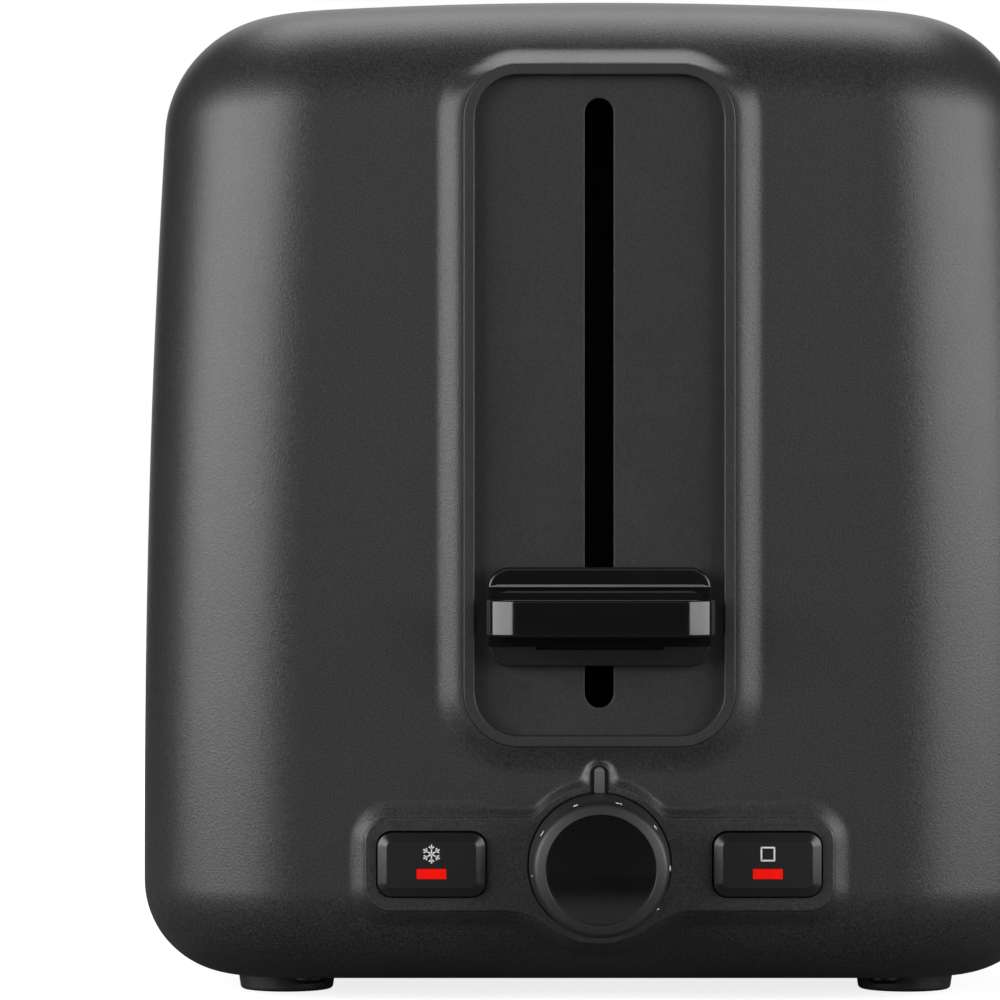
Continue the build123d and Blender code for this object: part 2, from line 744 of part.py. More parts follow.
# ======== Electronics ========
nodes["circuit_board"] = block((-board_half, board_half), (board_front, board_back),
                               (board_bottom, board_bottom + board_height))
screws = []
for x in board_post_x:
    for z in board_post_z:
        screws.append(pin_y(x, z, board_screw_radius, board_back, board_back + board_screw_head))
nodes["board_screws"] = Compound(screws)
pot_near = board_front - pot_depth
pot = pin_y(0, control_height, pot_radius, pot_near, board_front)
pot -= pin_y(0, control_height, shaft_radius + run_gap, pot_near - 1, pot_near + pot_socket)
nodes["browning_control"] = pot
for name, x in buttons.items():
    z = control_height + switch_lift
    case = block((x - switch_size / 2, x + switch_size / 2), (board_front - switch_depth, board_front),
                 (z - switch_size / 2, z + switch_size / 2))
    case += pin_y(x, z, plunger_radius, board_front - switch_depth - switch_plunger,
                  board_front - switch_depth)
    nodes[f"{name}_switch"] = case
    lamp_z = control_height - lamp_drop
    lamp = pin_y(x, lamp_z, lamp_radius, board_front - lamp_length, board_front)
    nodes[f"{name}_lamp"] = fillet(lamp.edges().sort_by(Axis.Y)[0], lamp_radius * 0.9)
width, depth, height = relay_size
relay_bottom = board_bottom + relay_rise
nodes["power_relay"] = block((relay_side, relay_side + width), (board_back, board_back + depth),
                             (relay_bottom, relay_bottom + height))
width, depth, height = terminal_size
terminal_near = oven_rear + sheet
terminal = block((-width / 2, width / 2), (terminal_near, terminal_near + depth),
                 (terminal_bottom, terminal_bottom + height))
terminal_z = terminal_bottom + height / 2
for index in (-1, 0, 1):
    x = index * terminal_pitch
    terminal -= pin_z(x, terminal_near + depth / 2, terminal_wire / 2, terminal_bottom - 1, terminal_bottom + height + 1)
    terminal -= pin_y(x, terminal_z, terminal_wire / 2, terminal_near + depth / 2, terminal_near + depth + 1)
nodes["terminal_block"] = terminal

# ======== Knob and buttons ========
knob_back = pod_face + knob_sink - fit_gap
knob_front = pod_face - knob_reach
skirt_front = pod_face - knob_skirt
knob_side = Polyline((0, knob_back), (knob_radius, knob_back), (knob_radius, skirt_front),
                     (knob_face_radius, knob_front + knob_rim), (knob_face_radius - knob_rim, knob_front),
                     (knob_face_radius - 2 * knob_rim, knob_front + knob_dish),
                     (0, knob_front + knob_dish), (0, knob_back))
knob = Pos(0, 0, control_height) * revolve(make_face(knob_side), Axis.Y)
shaft_front = knob_front + knob_reach / 2
shaft = pin_y(0, control_height, shaft_radius, shaft_front, pot_near + pot_socket - seat_gap)
flat = block((-shaft_radius, shaft_radius), (shaft_front - 1, knob_back),
             (control_height + shaft_radius - shaft_flat, control_height + shaft_radius + 1))
bore = pin_y(0, control_height, shaft_radius + run_gap, shaft_front - seat_gap, knob_back + 1)
bore -= block((-shaft_radius - 1, shaft_radius + 1), (shaft_front - 2, knob_back + 2),
              (control_height + shaft_radius - shaft_flat + run_gap, control_height + shaft_radius + 2))
nodes["browning_knob"] = knob - bore
nodes["knob_shaft"] = shaft - flat

for (name, x), outline in zip(buttons.items(), button_holes(0)):
    cap_front = pod_face - button_rise
    flange_front = front + wall + fit_gap
    cap_back = flange_front + button_flange_depth
    cap = slab(outline, cap_front, cap_back)
    cap = chamfer(cap.faces().sort_by(Axis.Y)[0].edges(), button_bevel_depth, button_bevel)
    flange = window(button_width + 2 * button_flange, control_height - button_height / 2 - button_flange,
                    button_height + 2 * button_flange, button_corner, x)
    cap += slab(flange, flange_front, cap_back)
    plunger_z = control_height + switch_lift
    switch_front = board_front - switch_depth - switch_plunger
    cap += pin_y(x, plunger_z, plunger_radius, cap_back, switch_front - button_travel - seat_gap)
    lens_z = control_height - lens_drop
    lens = block((x - lens_width / 2, x + lens_width / 2), (cap_front, cap_front + lens_depth),
                 (lens_z - lens_height / 2, lens_z + lens_height / 2))
    nodes[f"{name}_button"] = cap - lens
    nodes[f"{name}_lens"] = lens

# ======== Crumb tray ========
half = tray_width / 2 - seat_gap
tray = block((-half, half), (tray_near, tray_far), (tray_floor, tray_floor + tray_wall))
tray -= block((tray_sheet - half, half - tray_sheet), (tray_near + tray_sheet, tray_far - tray_sheet),
              (tray_floor + tray_sheet, tray_floor + tray_wall + 1))
tongue = block((-half, half), (tray_far - tray_sheet, rear - wall),
               (tray_floor, tray_floor + tray_sheet))
nodes["crumb_tray"] = tray + (tongue & inner)
door = (outer - inner) & tray_door
grip = block((-tray_grip_width / 2, tray_grip_width / 2), (rear - wall, rear + tray_grip_reach),
             (tray_handle_top - tray_grip_thickness, tray_handle_top))
grip = fillet(grip.edges().filter_by(Axis.Z).group_by(Axis.Y)[-1], tray_grip_corner)
nodes["tray_door"] = door + grip

# ======== Cable gland ========
gland = pin_y(gland_x, gland_z, gland_radius, rear - wall - gland_tail, rear)
gland += pin_y(gland_x, gland_z, gland_flange, rear, rear + gland_reach)
nodes["cable_gland"] = gland - pin_y(gland_x, gland_z, gland_bore, rear - wall - gland_tail - 1,
                                     rear + gland_reach + 1)

nodes["base_plate"] = base
os.makedirs("parts", exist_ok=True)
for name, shape in nodes.items():
    export_step(shape, f"parts/{name}.step")
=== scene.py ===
from math import cos, hypot, pi, radians, sin, sqrt

import bmesh
import bpy
from mathutils import Matrix, Vector


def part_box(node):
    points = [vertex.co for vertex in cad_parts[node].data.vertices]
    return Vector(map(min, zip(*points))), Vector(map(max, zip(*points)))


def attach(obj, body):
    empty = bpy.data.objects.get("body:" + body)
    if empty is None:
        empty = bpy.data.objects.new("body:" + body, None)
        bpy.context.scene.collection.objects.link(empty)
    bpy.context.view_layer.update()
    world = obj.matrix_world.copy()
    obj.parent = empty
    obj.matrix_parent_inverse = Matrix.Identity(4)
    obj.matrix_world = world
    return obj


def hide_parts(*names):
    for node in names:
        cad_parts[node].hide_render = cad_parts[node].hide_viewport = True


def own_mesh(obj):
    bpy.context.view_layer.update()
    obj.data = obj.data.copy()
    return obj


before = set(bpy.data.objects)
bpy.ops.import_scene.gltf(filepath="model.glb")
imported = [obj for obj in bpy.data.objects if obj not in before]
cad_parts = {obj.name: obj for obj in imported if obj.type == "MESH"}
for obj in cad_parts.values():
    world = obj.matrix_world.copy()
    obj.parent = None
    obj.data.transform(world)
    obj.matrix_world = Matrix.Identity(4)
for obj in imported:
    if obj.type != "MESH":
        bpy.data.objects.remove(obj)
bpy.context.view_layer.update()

# ------------------------
# The casing: one shell moulded in black plastic with a fine grain. Its sides bow outwards,
# its top is slightly crowned, and the soft boss round the lever panel and the control pod
# flow out of its front. Everything else is fixed to it or to the base under it.
MM = 0.001
casing_low, casing_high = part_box("housing")
knob_low, knob_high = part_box("browning_knob")
button_box = {name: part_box(f"{name}_button") for name in ("defrost", "stop")}
stop_low, stop_high = button_box["stop"]
plate_low, plate_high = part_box("top_plate")
base_low, base_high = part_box("base_plate")
door_low, door_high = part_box("tray_door")
gland_low, gland_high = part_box("cable_gland")
mark_low, mark_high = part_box("pointer_mark")

PANEL_RISE = 1.8 * MM
casing_front = casing_low.y + PANEL_RISE
casing_rear = casing_high.y
casing_middle = (casing_front + casing_rear) / 2
half_length = (casing_rear - casing_front) / 2
half_width = casing_high.x
sole = casing_low.z
crest = casing_high.z
WIDEST_HEIGHT = 30 * MM
BOW_RADIUS = 2550 * MM
CROWN_RADIUS = 1020 * MM
CROWN_START = 110 * MM
CROWN_BLEND = 70 * MM
CORNER_RADIUS = 32 * MM
SHOULDER_RADIUS = 21 * MM
SOLE_RADIUS = 18.5 * MM
CASING_WALL = 2.6 * MM
RELIEF_REACH = 62 * MM
FRONT_STEP = 0.5 * MM
SIDE_STEP = 6 * MM
BACK_STEP = 4 * MM
CORNER_STEP = 3.75

PANEL_WIDTH = 52.6 * MM
PANEL_BOTTOM = 50.3 * MM
PANEL_TOP = 182.3 * MM
PANEL_CORNER = 10.7 * MM
PANEL_PROUD = 0.3 * MM
BOSS_FLANK = 5.4 * MM
BOSS_CROWN = 3.4 * MM
BOSS_TOP_CURVE = 2.1
BOSS_FOOT_CURVE = 1.7
control_height = (knob_low.z + knob_high.z) / 2
knob_radius = (knob_high.x - knob_low.x) / 2
POD_WIDTH = 90.8 * MM
POD_HEIGHT = 18.3 * MM
POD_CORNER = 5.0 * MM
POD_RISE = 1.3 * MM
POD_FLANK = 3.0 * MM
POD_CURVE = 1.35
POD_EDGE = 0.40 * MM
STEEPER_FLANK = 0.62
COLLAR_RADIUS = 15.5 * MM
COLLAR_HOLLOW = 5.0 * MM
COLLAR_HOLLOW_LESS = 3.8 * MM
HOOD_RADIUS = 2.2 * MM
HOOD_REACH = 17.4 * MM
HOOD_HOLLOW = 1.6 * MM
POD_STEPS = 900
POD_NEAREST = 5 * MM
POD_FARTHEST = 80 * MM
HALVINGS = 30


def smooth_step(t):
    """Goes from 0 to 1 as t does, with gentle ends."""
    t = min(max(t, 0.0), 1.0)
    return t * t * (3 - 2 * t)


def rounded_box_distance(x, z, centre_z, half_x, half_z, corner):
    """How far a point of the front lies outside a rounded rectangle, or inside if negative."""
    dx = abs(x) - half_x + corner
    dz = abs(z - centre_z) - half_z + corner
    return hypot(max(dx, 0), max(dz, 0)) + min(max(dx, dz), 0) - corner


def blended_nearest(a, b, width):
    """The smaller of two distances, with a round hollow where they are nearly equal."""
    h = max(width - abs(a - b), 0) / width
    return min(a, b) - h * h * width / 4


def pod_distance(x, z):
    """How far a point of the front lies outside the control pod's outline."""
    band = rounded_box_distance(x, z, control_height, POD_WIDTH / 2, POD_HEIGHT / 2, POD_CORNER)
    collar = hypot(x, z - control_height) - COLLAR_RADIUS
    hood = rounded_box_distance(x, z, control_height + HOOD_REACH / 2, HOOD_RADIUS,
                                HOOD_REACH / 2 + HOOD_RADIUS, HOOD_RADIUS)
    hollow = COLLAR_HOLLOW - COLLAR_HOLLOW_LESS * smooth_step((z - control_height) / (3 * MM))
    return blended_nearest(blended_nearest(band, collar, hollow), hood, HOOD_HOLLOW)


def past_corner(beyond_x, beyond_z):
    """0 beside the panel's straight sides, growing to 1 straight above or below the panel."""
    beyond_z = max(beyond_z, 1e-9)
    return smooth_step(beyond_z / hypot(beyond_x, beyond_z) * min(beyond_z / PANEL_CORNER, 1.0))


def front_relief(x, y, z):
    """The casing's front surface, with the boss and the pod raised out of the plain form."""
    middle_z = (PANEL_BOTTOM + PANEL_TOP) / 2
    to_panel = rounded_box_distance(x, z, middle_z, PANEL_WIDTH / 2,
                                    (PANEL_TOP - PANEL_BOTTOM) / 2, PANEL_CORNER)
    out = max(to_panel, 0.0)
    beyond_x = max(abs(x) - PANEL_WIDTH / 2 + PANEL_CORNER, 0.0)
    above = past_corner(beyond_x, z - PANEL_TOP + PANEL_CORNER)
    below = past_corner(beyond_x, PANEL_BOTTOM + PANEL_CORNER - z)
    beside = 1 - smooth_step((out - 0.2 * MM) / BOSS_FLANK)
    over = max(1 - out / BOSS_CROWN, 0.0) ** BOSS_TOP_CURVE
    under = max(1 - out / BOSS_FLANK, 0.0) ** BOSS_FOOT_CURVE
    boss = beside + (over - beside) * above + (under - beside) * below
    beside_hood = smooth_step((z - control_height - COLLAR_RADIUS) / (1.5 * MM))
    beside_collar = (smooth_step((z - control_height - POD_HEIGHT / 2 + 1 * MM) / (3 * MM))
                     * smooth_step((COLLAR_RADIUS + 9 * MM - abs(x)) / (6 * MM)))
    flank = POD_FLANK * (1 - STEEPER_FLANK * max(beside_hood, beside_collar))
    fall = min(max(pod_distance(x, z) / flank, 0.0), 1.0)
    pod = (1 - fall) ** POD_CURVE
    boss_y = y + (casing_front - PANEL_RISE + PANEL_PROUD - y) * boss
    pod_y = y + (casing_front - POD_RISE + POD_EDGE - y) * pod
    return min(y, boss_y, pod_y)


def pod_edge(level, y):
    """The control pod's outline seen from the knob's axis, a level outside it, as a ring at y."""
    ring = []
    for i in range(POD_STEPS):
        angle = 2 * pi * i / POD_STEPS
        near, far = POD_NEAREST, POD_FARTHEST
        for _ in range(HALVINGS):
            reach = (near + far) / 2
            outside = pod_distance(reach * cos(angle), control_height + reach * sin(angle)) > level
            near, far = (near, reach) if outside else (reach, far)
        ring.append((near * cos(angle), y, control_height + near * sin(angle)))
    return ring


def spread(start, end, step):
    """Evenly spaced values from start to just before end."""
    count = max(int(round((end - start) / step)), 1)
    return [start + (end - start) * i / count for i in range(count)]


def casing_profile():
    """Heights up the casing, each with how far the sole or shoulder rounding draws it in."""
    rows = []
    for angle in spread(0, pi / 2, FRONT_STEP / SOLE_RADIUS):
        rows.append((sole + SOLE_RADIUS * (1 - cos(angle)), SOLE_RADIUS * (1 - sin(angle))))
    low = sole + SOLE_RADIUS
    high = crest - SHOULDER_RADIUS
    for z in spread(low, PANEL_BOTTOM, FRONT_STEP) + spread(PANEL_BOTTOM, high, 2 * FRONT_STEP):
        rows.append((z, 0.0))
    fine, coarse = 0.25 * MM / SHOULDER_RADIUS, 0.8 * MM / SHOULDER_RADIUS
    for angle in spread(0, 0.6, fine) + spread(0.6, pi / 2, coarse):
        rows.append((high + SHOULDER_RADIUS * sin(angle), SHOULDER_RADIUS * (1 - cos(angle))))
    rows.append((crest, SHOULDER_RADIUS))
    return rows


def casing_plan():
    """Places round the casing: a point on the straight side or a corner's centre, and a normal."""
    inner_x = half_width - CORNER_RADIUS
    inner_y = half_length - CORNER_RADIUS
    places = []
    for x in spread(-inner_x, inner_x, FRONT_STEP):
        places.append((x, -inner_y, 0.0, -1.0))
    sides = spread(-inner_y, inner_y, SIDE_STEP)
    corners = (
        (inner_x, -inner_y, -90, [(inner_x, y, 1.0, 0.0) for y in sides]),
        (inner_x, inner_y, 0, [(-x, inner_y, 0.0, 1.0) for x in spread(-inner_x, inner_x, BACK_STEP)]),
        (-inner_x, inner_y, 90, [(-inner_x, -y, -1.0, 0.0) for y in sides]),
        (-inner_x, -inner_y, 180, []))
    for x, y, start, side in corners:
        for degrees in spread(start, start + 90, CORNER_STEP):
            places.append((x, y, cos(radians(degrees)), sin(radians(degrees))))
        places.extend(side)
    return places


def crown_drop(x):
    """How far the crowned top has fallen at a distance from the middle."""
    return CROWN_RADIUS - sqrt(CROWN_RADIUS ** 2 - x ** 2)


def casing_point(place, height, drawn_in, inset):
    """A point of the casing, an inset inside its outer face."""
    x, y, normal_x, normal_y = place
    bow = BOW_RADIUS - sqrt(BOW_RADIUS ** 2 - (height - WIDEST_HEIGHT) ** 2)
    reach = CORNER_RADIUS - drawn_in - inset
    outward = (1 if x > 0 else -1) * min(abs(x) / (half_width - CORNER_RADIUS), 1)
    px = x - bow * outward + normal_x * reach
    py = y + normal_y * reach
    crowned = smooth_step((height - CROWN_START) / CROWN_BLEND)
    return px, casing_middle + py, height - crown_drop(px) * crowned


def add_object(name, data):
    """Makes an object from its data and puts it into the scene."""
    obj = bpy.data.objects.new(name, data)
    bpy.context.scene.collection.objects.link(obj)
    return obj


def ring_mesh(name, rings, ends="capped"):
    """A closed surface from rings of points, whose ends are capped or joined to each other."""
    mesh = bpy.data.meshes.new(name)
    count = len(rings[0])
    verts = [point for ring in rings for point in ring]
    faces = []
    for row in range(len(rings) if ends == "joined" else len(rings) - 1):
        after = (row + 1) % len(rings)
        for i in range(count):
            j = (i + 1) % count
            faces.append((row * count + i, row * count + j, after * count + j, after * count + i))
    if ends == "capped":
        for row, order in ((0, -1), (len(rings) - 1, 1)):
            ring = rings[row]
            centre = Vector((0, 0, 0))
            for point in ring:
                centre += Vector(point) / count
            verts.append(tuple(centre))
            tip = len(verts) - 1
            for i in range(count):
                j = (i + 1) % count
                a, b = row * count + i, row * count + j
                faces.append((a, b, tip) if order == 1 else (b, a, tip))
    mesh.from_pydata(verts, [], faces)
    mesh.update()
    return add_object(name, mesh)


def casing_solid(name, inset):
    """The casing's form as a closed solid: without an inset the outer face, with the relief
    of the front, and with one a plain form that lies that far inside it all round."""
    plan = casing_plan()
    rings = []
    for height, drawn_in in casing_profile():
        ring = []
        for place in plan:
            x, y, z = casing_point(place, height, drawn_in, inset)
            if inset:
                share = (height - sole) / (crest - sole)
                at_floor = 1 - smooth_step(share * 8)
                at_ceiling = smooth_step((share - 0.875) * 8)
                z = z + inset * at_floor - inset * at_ceiling
            elif place[3] < 0 and abs(x) < RELIEF_REACH:
                y = front_relief(x, y, z)
            ring.append((x, y, z))
        rings.append(ring)
    rim = rings[-1]
    for share in (0.94, 0.8, 0.55, 0.3, 0.1):
        rings.append([(x * share, casing_middle + (y - casing_middle) * share,
                       crest - inset - crown_drop(x * share)) for x, y, z in rim])
    return ring_mesh(name, rings)


def rounded_outline(width, low, high, corner, steps=10, x=0.0):
    """Points round an upright rounded rectangle, as (x, z)."""
    points = []
    corner = min(corner, width / 2, (high - low) / 2)
    right, left = x + width / 2 - corner, x - width / 2 + corner
    centres = [(right, low + corner, -90), (right, high - corner, 0),
               (left, high - corner, 90), (left, low + corner, 180)]
    for cx, cz, start in centres:
        for i in range(steps + 1):
            angle = radians(start + 90 * i / steps)
            points.append((cx + corner * cos(angle), cz + corner * sin(angle)))
    return points


def bar_along_y(name, outline, near, far):
    """A closed bar with an (x, z) outline, from y = near to y = far."""
    rings = [[(x, near, z) for x, z in outline], [(x, far, z) for x, z in outline]]
    bar = ring_mesh(name, rings)
    bar.data.flip_normals()
    return bar


def bar_along_z(name, outline, low, high):
    """A closed bar with an (x, y) outline, from z = low to z = high."""
    return ring_mesh(name, [[(x, y, low) for x, y in outline], [(x, y, high) for x, y in outline]])


def circle_outline(x, z, radius, steps=96):
    """Points round an upright circle, as (x, z)."""
    return [(x + radius * cos(2 * pi * i / steps), z + radius * sin(2 * pi * i / steps))
            for i in range(steps)]


def join_or_carve(obj, added, cutters):
    """Joins closed pieces to a closed piece, then cuts closed cutters out of it."""
    for other in added + cutters:
        modifier = obj.modifiers.new("carve", "BOOLEAN")
        modifier.operation = "UNION" if other in added else "DIFFERENCE"
        modifier.solver = "MANIFOLD"
        modifier.object = other
    bpy.context.view_layer.update()
    depsgraph = bpy.context.evaluated_depsgraph_get()
    mesh = bpy.data.meshes.new_from_object(obj.evaluated_get(depsgraph))
    obj.modifiers.clear()
    obj.data = mesh
    for other in added + cutters:
        bpy.data.objects.remove(other)


EDGE_STEPS = 4


def edge_round(radius):
    """Pairs along a rounded edge: how far it has come in, and how far it has still to come up."""
    turns = [step * pi / 2 / EDGE_STEPS for step in range(EDGE_STEPS + 1)]
    return [(radius * (1 - cos(turn)), radius * (1 - sin(turn))) for turn in turns]


def soften(obj, angle):
    """Shades a piece smooth, but keeps edges sharper than an angle."""
    obj.data.shade_smooth()
    obj.data.set_sharp_from_angle(angle=radians(angle))


CLOUD_SIZE = 14 * MM


def resting_noise(nodes, links, size, detail, stretch=(1, 1, 1)):
    """A fine random pattern, in metres, that lies still on the piece."""
    place = nodes.new("ShaderNodeTexCoord")
    along = nodes.new("ShaderNodeMapping")
    along.inputs["Scale"].default_value = stretch
    noise = nodes.new("ShaderNodeTexNoise")
    noise.inputs["Scale"].default_value = 1 / size
    noise.inputs["Detail"].default_value = detail
    links.new(place.outputs["Object"], along.inputs["Vector"])
    links.new(along.outputs["Vector"], noise.inputs["Vector"])
    return noise


def between(nodes, links, noise, low, high):
    """Turns a pattern into colours or values between two ends."""
    ramp = nodes.new("ShaderNodeValToRGB")
    for element, position, value in zip(ramp.color_ramp.elements, (0.32, 0.68), (low, high)):
        element.position = position
        element.color = (*value, 1) if isinstance(value, tuple) else (value, value, value, 1)
    links.new(noise.outputs["Fac"], ramp.inputs["Fac"])
    return ramp.outputs["Color"]


def surface_finish(name, dark, light, gloss, grain, depth, metallic=0.0, specular=0.5, stretch=(1, 1, 1)):
    """A finish with its own grain in colour and relief, and slow changes in how glossy it is:
    gloss is the lowest and highest roughness, grain the pattern's size and depth its relief.
    A colour that is one number is a grey."""
    material = bpy.data.materials.new(name)
    material.use_nodes = True
    nodes, links = material.node_tree.nodes, material.node_tree.links
    shader = nodes["Principled BSDF"]
    shader.inputs["Metallic"].default_value = metallic
    shader.inputs["Specular IOR Level"].default_value = specular
    fine = resting_noise(nodes, links, grain, 3.0, stretch)
    slow = resting_noise(nodes, links, CLOUD_SIZE, 2.0)
    links.new(between(nodes, links, fine, dark, light), shader.inputs["Base Color"])
    links.new(between(nodes, links, slow, gloss[0], gloss[1]), shader.inputs["Roughness"])
    bump = nodes.new("ShaderNodeBump")
    bump.inputs["Distance"].default_value = depth
    links.new(fine.outputs["Fac"], bump.inputs["Height"])
    links.new(bump.outputs["Normal"], shader.inputs["Normal"])
    return material


def dress(piece, material):
    """Gives a piece one material all over."""
    piece.data.materials.clear()
    piece.data.materials.append(material)


casing_plastic = surface_finish("casing_plastic", 0.005, 0.030, gloss=(0.36, 0.38),
                                grain=0.36 * MM, depth=0.050 * MM)
pod_face = casing_front - POD_RISE
KNOB_GAP = 0.4 * MM
KNOB_SINK = 2.0 * MM
SHAFT_HOLE = 3.4 * MM
BUTTON_CORNER = 2.7 * MM
BUTTON_GAP = 0.35 * MM
BUTTON_FLANGE = 1.55 * MM
POCKET_WIDTH = 3.5 * MM
POCKET_BOTTOM = 8 * MM
SLOT_PLATE_LAP = 4.0 * MM
SLOT_PLATE_CORNER = 13 * MM
SOLE_GAP = 0.3 * MM
SOLE_CORNER = 13.5 * MM
TRAY_GAP = 0.4 * MM
TRAY_CORNER = 0.5 * MM
GLAND_SEAT = 5.56 * MM
POD_ROUND = 0.32 * MM
CUT_BEYOND = 10 * MM
button_width = stop_high.x - stop_low.x - 2 * BUTTON_FLANGE
button_height = stop_high.z - stop_low.z - 2 * BUTTON_FLANGE
button_centre = {name: (low.x + high.x) / 2 for name, (low, high) in button_box.items()}


def button_outline(name, inset):
    """The outline of a button, an inset inside its edge."""
    return rounded_outline(button_width - 2 * inset, control_height - button_height / 2 + inset,
                           control_height + button_height / 2 - inset,
                           max(BUTTON_CORNER - inset, 0.4 * MM), 10, button_centre[name])


def level_outline(low, high, corner):
    """A rounded rectangle in plan, between the corners of a box."""
    return rounded_outline(high.x - low.x, low.y, high.y, corner, 12, (low.x + high.x) / 2)


casing = casing_solid("casing_shell", 0.0)
plateau_rings = [pod_edge(0, casing_front + 6 * MM)]
for drawn_in, deep in edge_round(POD_ROUND):
    plateau_rings.append(pod_edge(-drawn_in, pod_face + deep))
plateau_rings.append(pod_edge(-POD_ROUND - 0.3 * MM, pod_face))
plateau = ring_mesh("plateau", plateau_rings)

front_cut = (casing_front - CUT_BEYOND, casing_front + CUT_BEYOND)
pocket_outline = rounded_outline(POCKET_WIDTH, control_height + POCKET_BOTTOM, mark_high.z + 0.5 * MM,
                                 POCKET_WIDTH / 2, 10)
lap = Vector((SLOT_PLATE_LAP, SLOT_PLATE_LAP, 0))
seam = Vector((SOLE_GAP, SOLE_GAP, 0))
tray_outline = rounded_outline(door_high.x - door_low.x + 2 * TRAY_GAP, door_low.z - TRAY_GAP,
                               door_high.z + TRAY_GAP, TRAY_CORNER, 3)
gland_x = (gland_low.x + gland_high.x) / 2
gland_z = (gland_low.z + gland_high.z) / 2
openings = [
    casing_solid("inside", CASING_WALL),
    bar_along_y("panel_seat", rounded_outline(PANEL_WIDTH, PANEL_BOTTOM, PANEL_TOP, PANEL_CORNER, 16),
                *front_cut),
    bar_along_y("knob_well", circle_outline(0, control_height, knob_radius + KNOB_GAP),
                casing_front - CUT_BEYOND, pod_face + KNOB_SINK),
    bar_along_y("shaft_hole", circle_outline(0, control_height, SHAFT_HOLE, 48), *front_cut),
    bar_along_y("pointer_pocket", pocket_outline, casing_front - CUT_BEYOND, mark_high.y + 0.05 * MM),
    bar_along_z("slot_plate_seat", level_outline(plate_low + lap, plate_high - lap, SLOT_PLATE_CORNER),
                crest - 2 * CUT_BEYOND, crest + CUT_BEYOND),
    bar_along_z("sole_opening", level_outline(base_low - seam, base_high + seam, SOLE_CORNER),
                sole - CUT_BEYOND, sole + CUT_BEYOND / 2),
    bar_along_y("tray_opening", tray_outline, casing_rear - 2 * CUT_BEYOND, casing_rear + CUT_BEYOND),
    bar_along_y("gland_hole", circle_outline(gland_x, gland_z, GLAND_SEAT, 48),
                casing_rear - CUT_BEYOND, casing_rear + CUT_BEYOND),
]
for name in button_centre:
    openings.append(bar_along_y(f"{name}_hole", button_outline(name, -BUTTON_GAP), *front_cut))
join_or_carve(casing, [plateau], openings)
soften(casing, 32)
dress(casing, casing_plastic)
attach(casing, "casing")
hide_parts("housing")

# ------------------------
# The lever panel: a moulded frame with a shallow recess and the slot that the lever runs in.
# It is clipped into the boss from behind, and its flange bears on the inside of the casing.
PANEL_FIT = 0.05 * MM
PANEL_EDGE = 0.22 * MM
PANEL_EDGE_ARC = 0.06 * MM
SLOT_EDGE = 0.2 * MM
SLOT_EDGE_ARC = 0.05 * MM
PANEL_RIM = 2.15 * MM
PANEL_FLANGE = 3.0 * MM
PANEL_DEPTH = 3.8 * MM
PANEL_FLOOR = 2.0 * MM
LEVER_SLOT_WIDTH = 5.6 * MM
LEVER_SLOT_BOTTOM = 57.8 * MM
LEVER_SLOT_TOP = 175.8 * MM
panel_low, panel_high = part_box("lever_panel")
panel_face = panel_low.y
panel_floor = panel_face + PANEL_DEPTH


def panel_ring(inset, y):
    """The panel's outline, an inset inside its edge."""
    outline = rounded_outline(PANEL_WIDTH - 2 * (inset + PANEL_FIT), PANEL_BOTTOM + inset + PANEL_FIT,
                              PANEL_TOP - inset - PANEL_FIT, PANEL_CORNER - inset, 20)
    return [(x, y, z) for x, z in outline]


def slot_ring(grow, y):
    """The lever slot's outline, a little larger than the slot."""
    outline = rounded_outline(LEVER_SLOT_WIDTH + 2 * grow, LEVER_SLOT_BOTTOM - grow, LEVER_SLOT_TOP + grow,
                              LEVER_SLOT_WIDTH / 2 + grow, 20)
    return [(x, y, z) for x, z in outline]


def even_normals(piece):
    """Keeps the broad faces of a piece flat beside its small rounded edges."""
    evener = piece.modifiers.new("even_normals", "WEIGHTED_NORMAL")
    evener.keep_sharp = True
    evener.weight = 60


flange_front = casing_front + CASING_WALL + 0.1 * MM
panel_rings = [panel_ring(inset, y) for inset, y in (
    (-PANEL_FLANGE, panel_high.y), (-PANEL_FLANGE, flange_front), (0, flange_front),
    (0, panel_face + PANEL_EDGE), (PANEL_EDGE_ARC, panel_face + PANEL_EDGE_ARC), (PANEL_EDGE, panel_face),
    (PANEL_RIM - PANEL_EDGE, panel_face), (PANEL_RIM - PANEL_EDGE_ARC, panel_face + PANEL_EDGE_ARC),
    (PANEL_RIM, panel_face + PANEL_EDGE), (PANEL_RIM, panel_floor), (PANEL_RIM + 0.4 * MM, panel_floor))]
panel_rings += [slot_ring(grow, y) for grow, y in (
    (0.5 * MM, panel_floor), (SLOT_EDGE, panel_floor), (SLOT_EDGE_ARC, panel_floor + SLOT_EDGE_ARC),
    (0, panel_floor + SLOT_EDGE), (0, panel_floor + PANEL_FLOOR))]
panel_rings += [panel_ring(PANEL_RIM, panel_floor + PANEL_FLOOR), panel_ring(PANEL_RIM, panel_high.y)]
panel = ring_mesh("lever_panel_frame", panel_rings, ends="joined")
panel_plastic = surface_finish("panel_plastic", 0.007, 0.023, gloss=(0.37, 0.43),
                               grain=0.32 * MM, depth=0.026 * MM)
soften(panel, 50)
even_normals(panel)
dress(panel, panel_plastic)
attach(panel, "casing")
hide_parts("lever_panel")

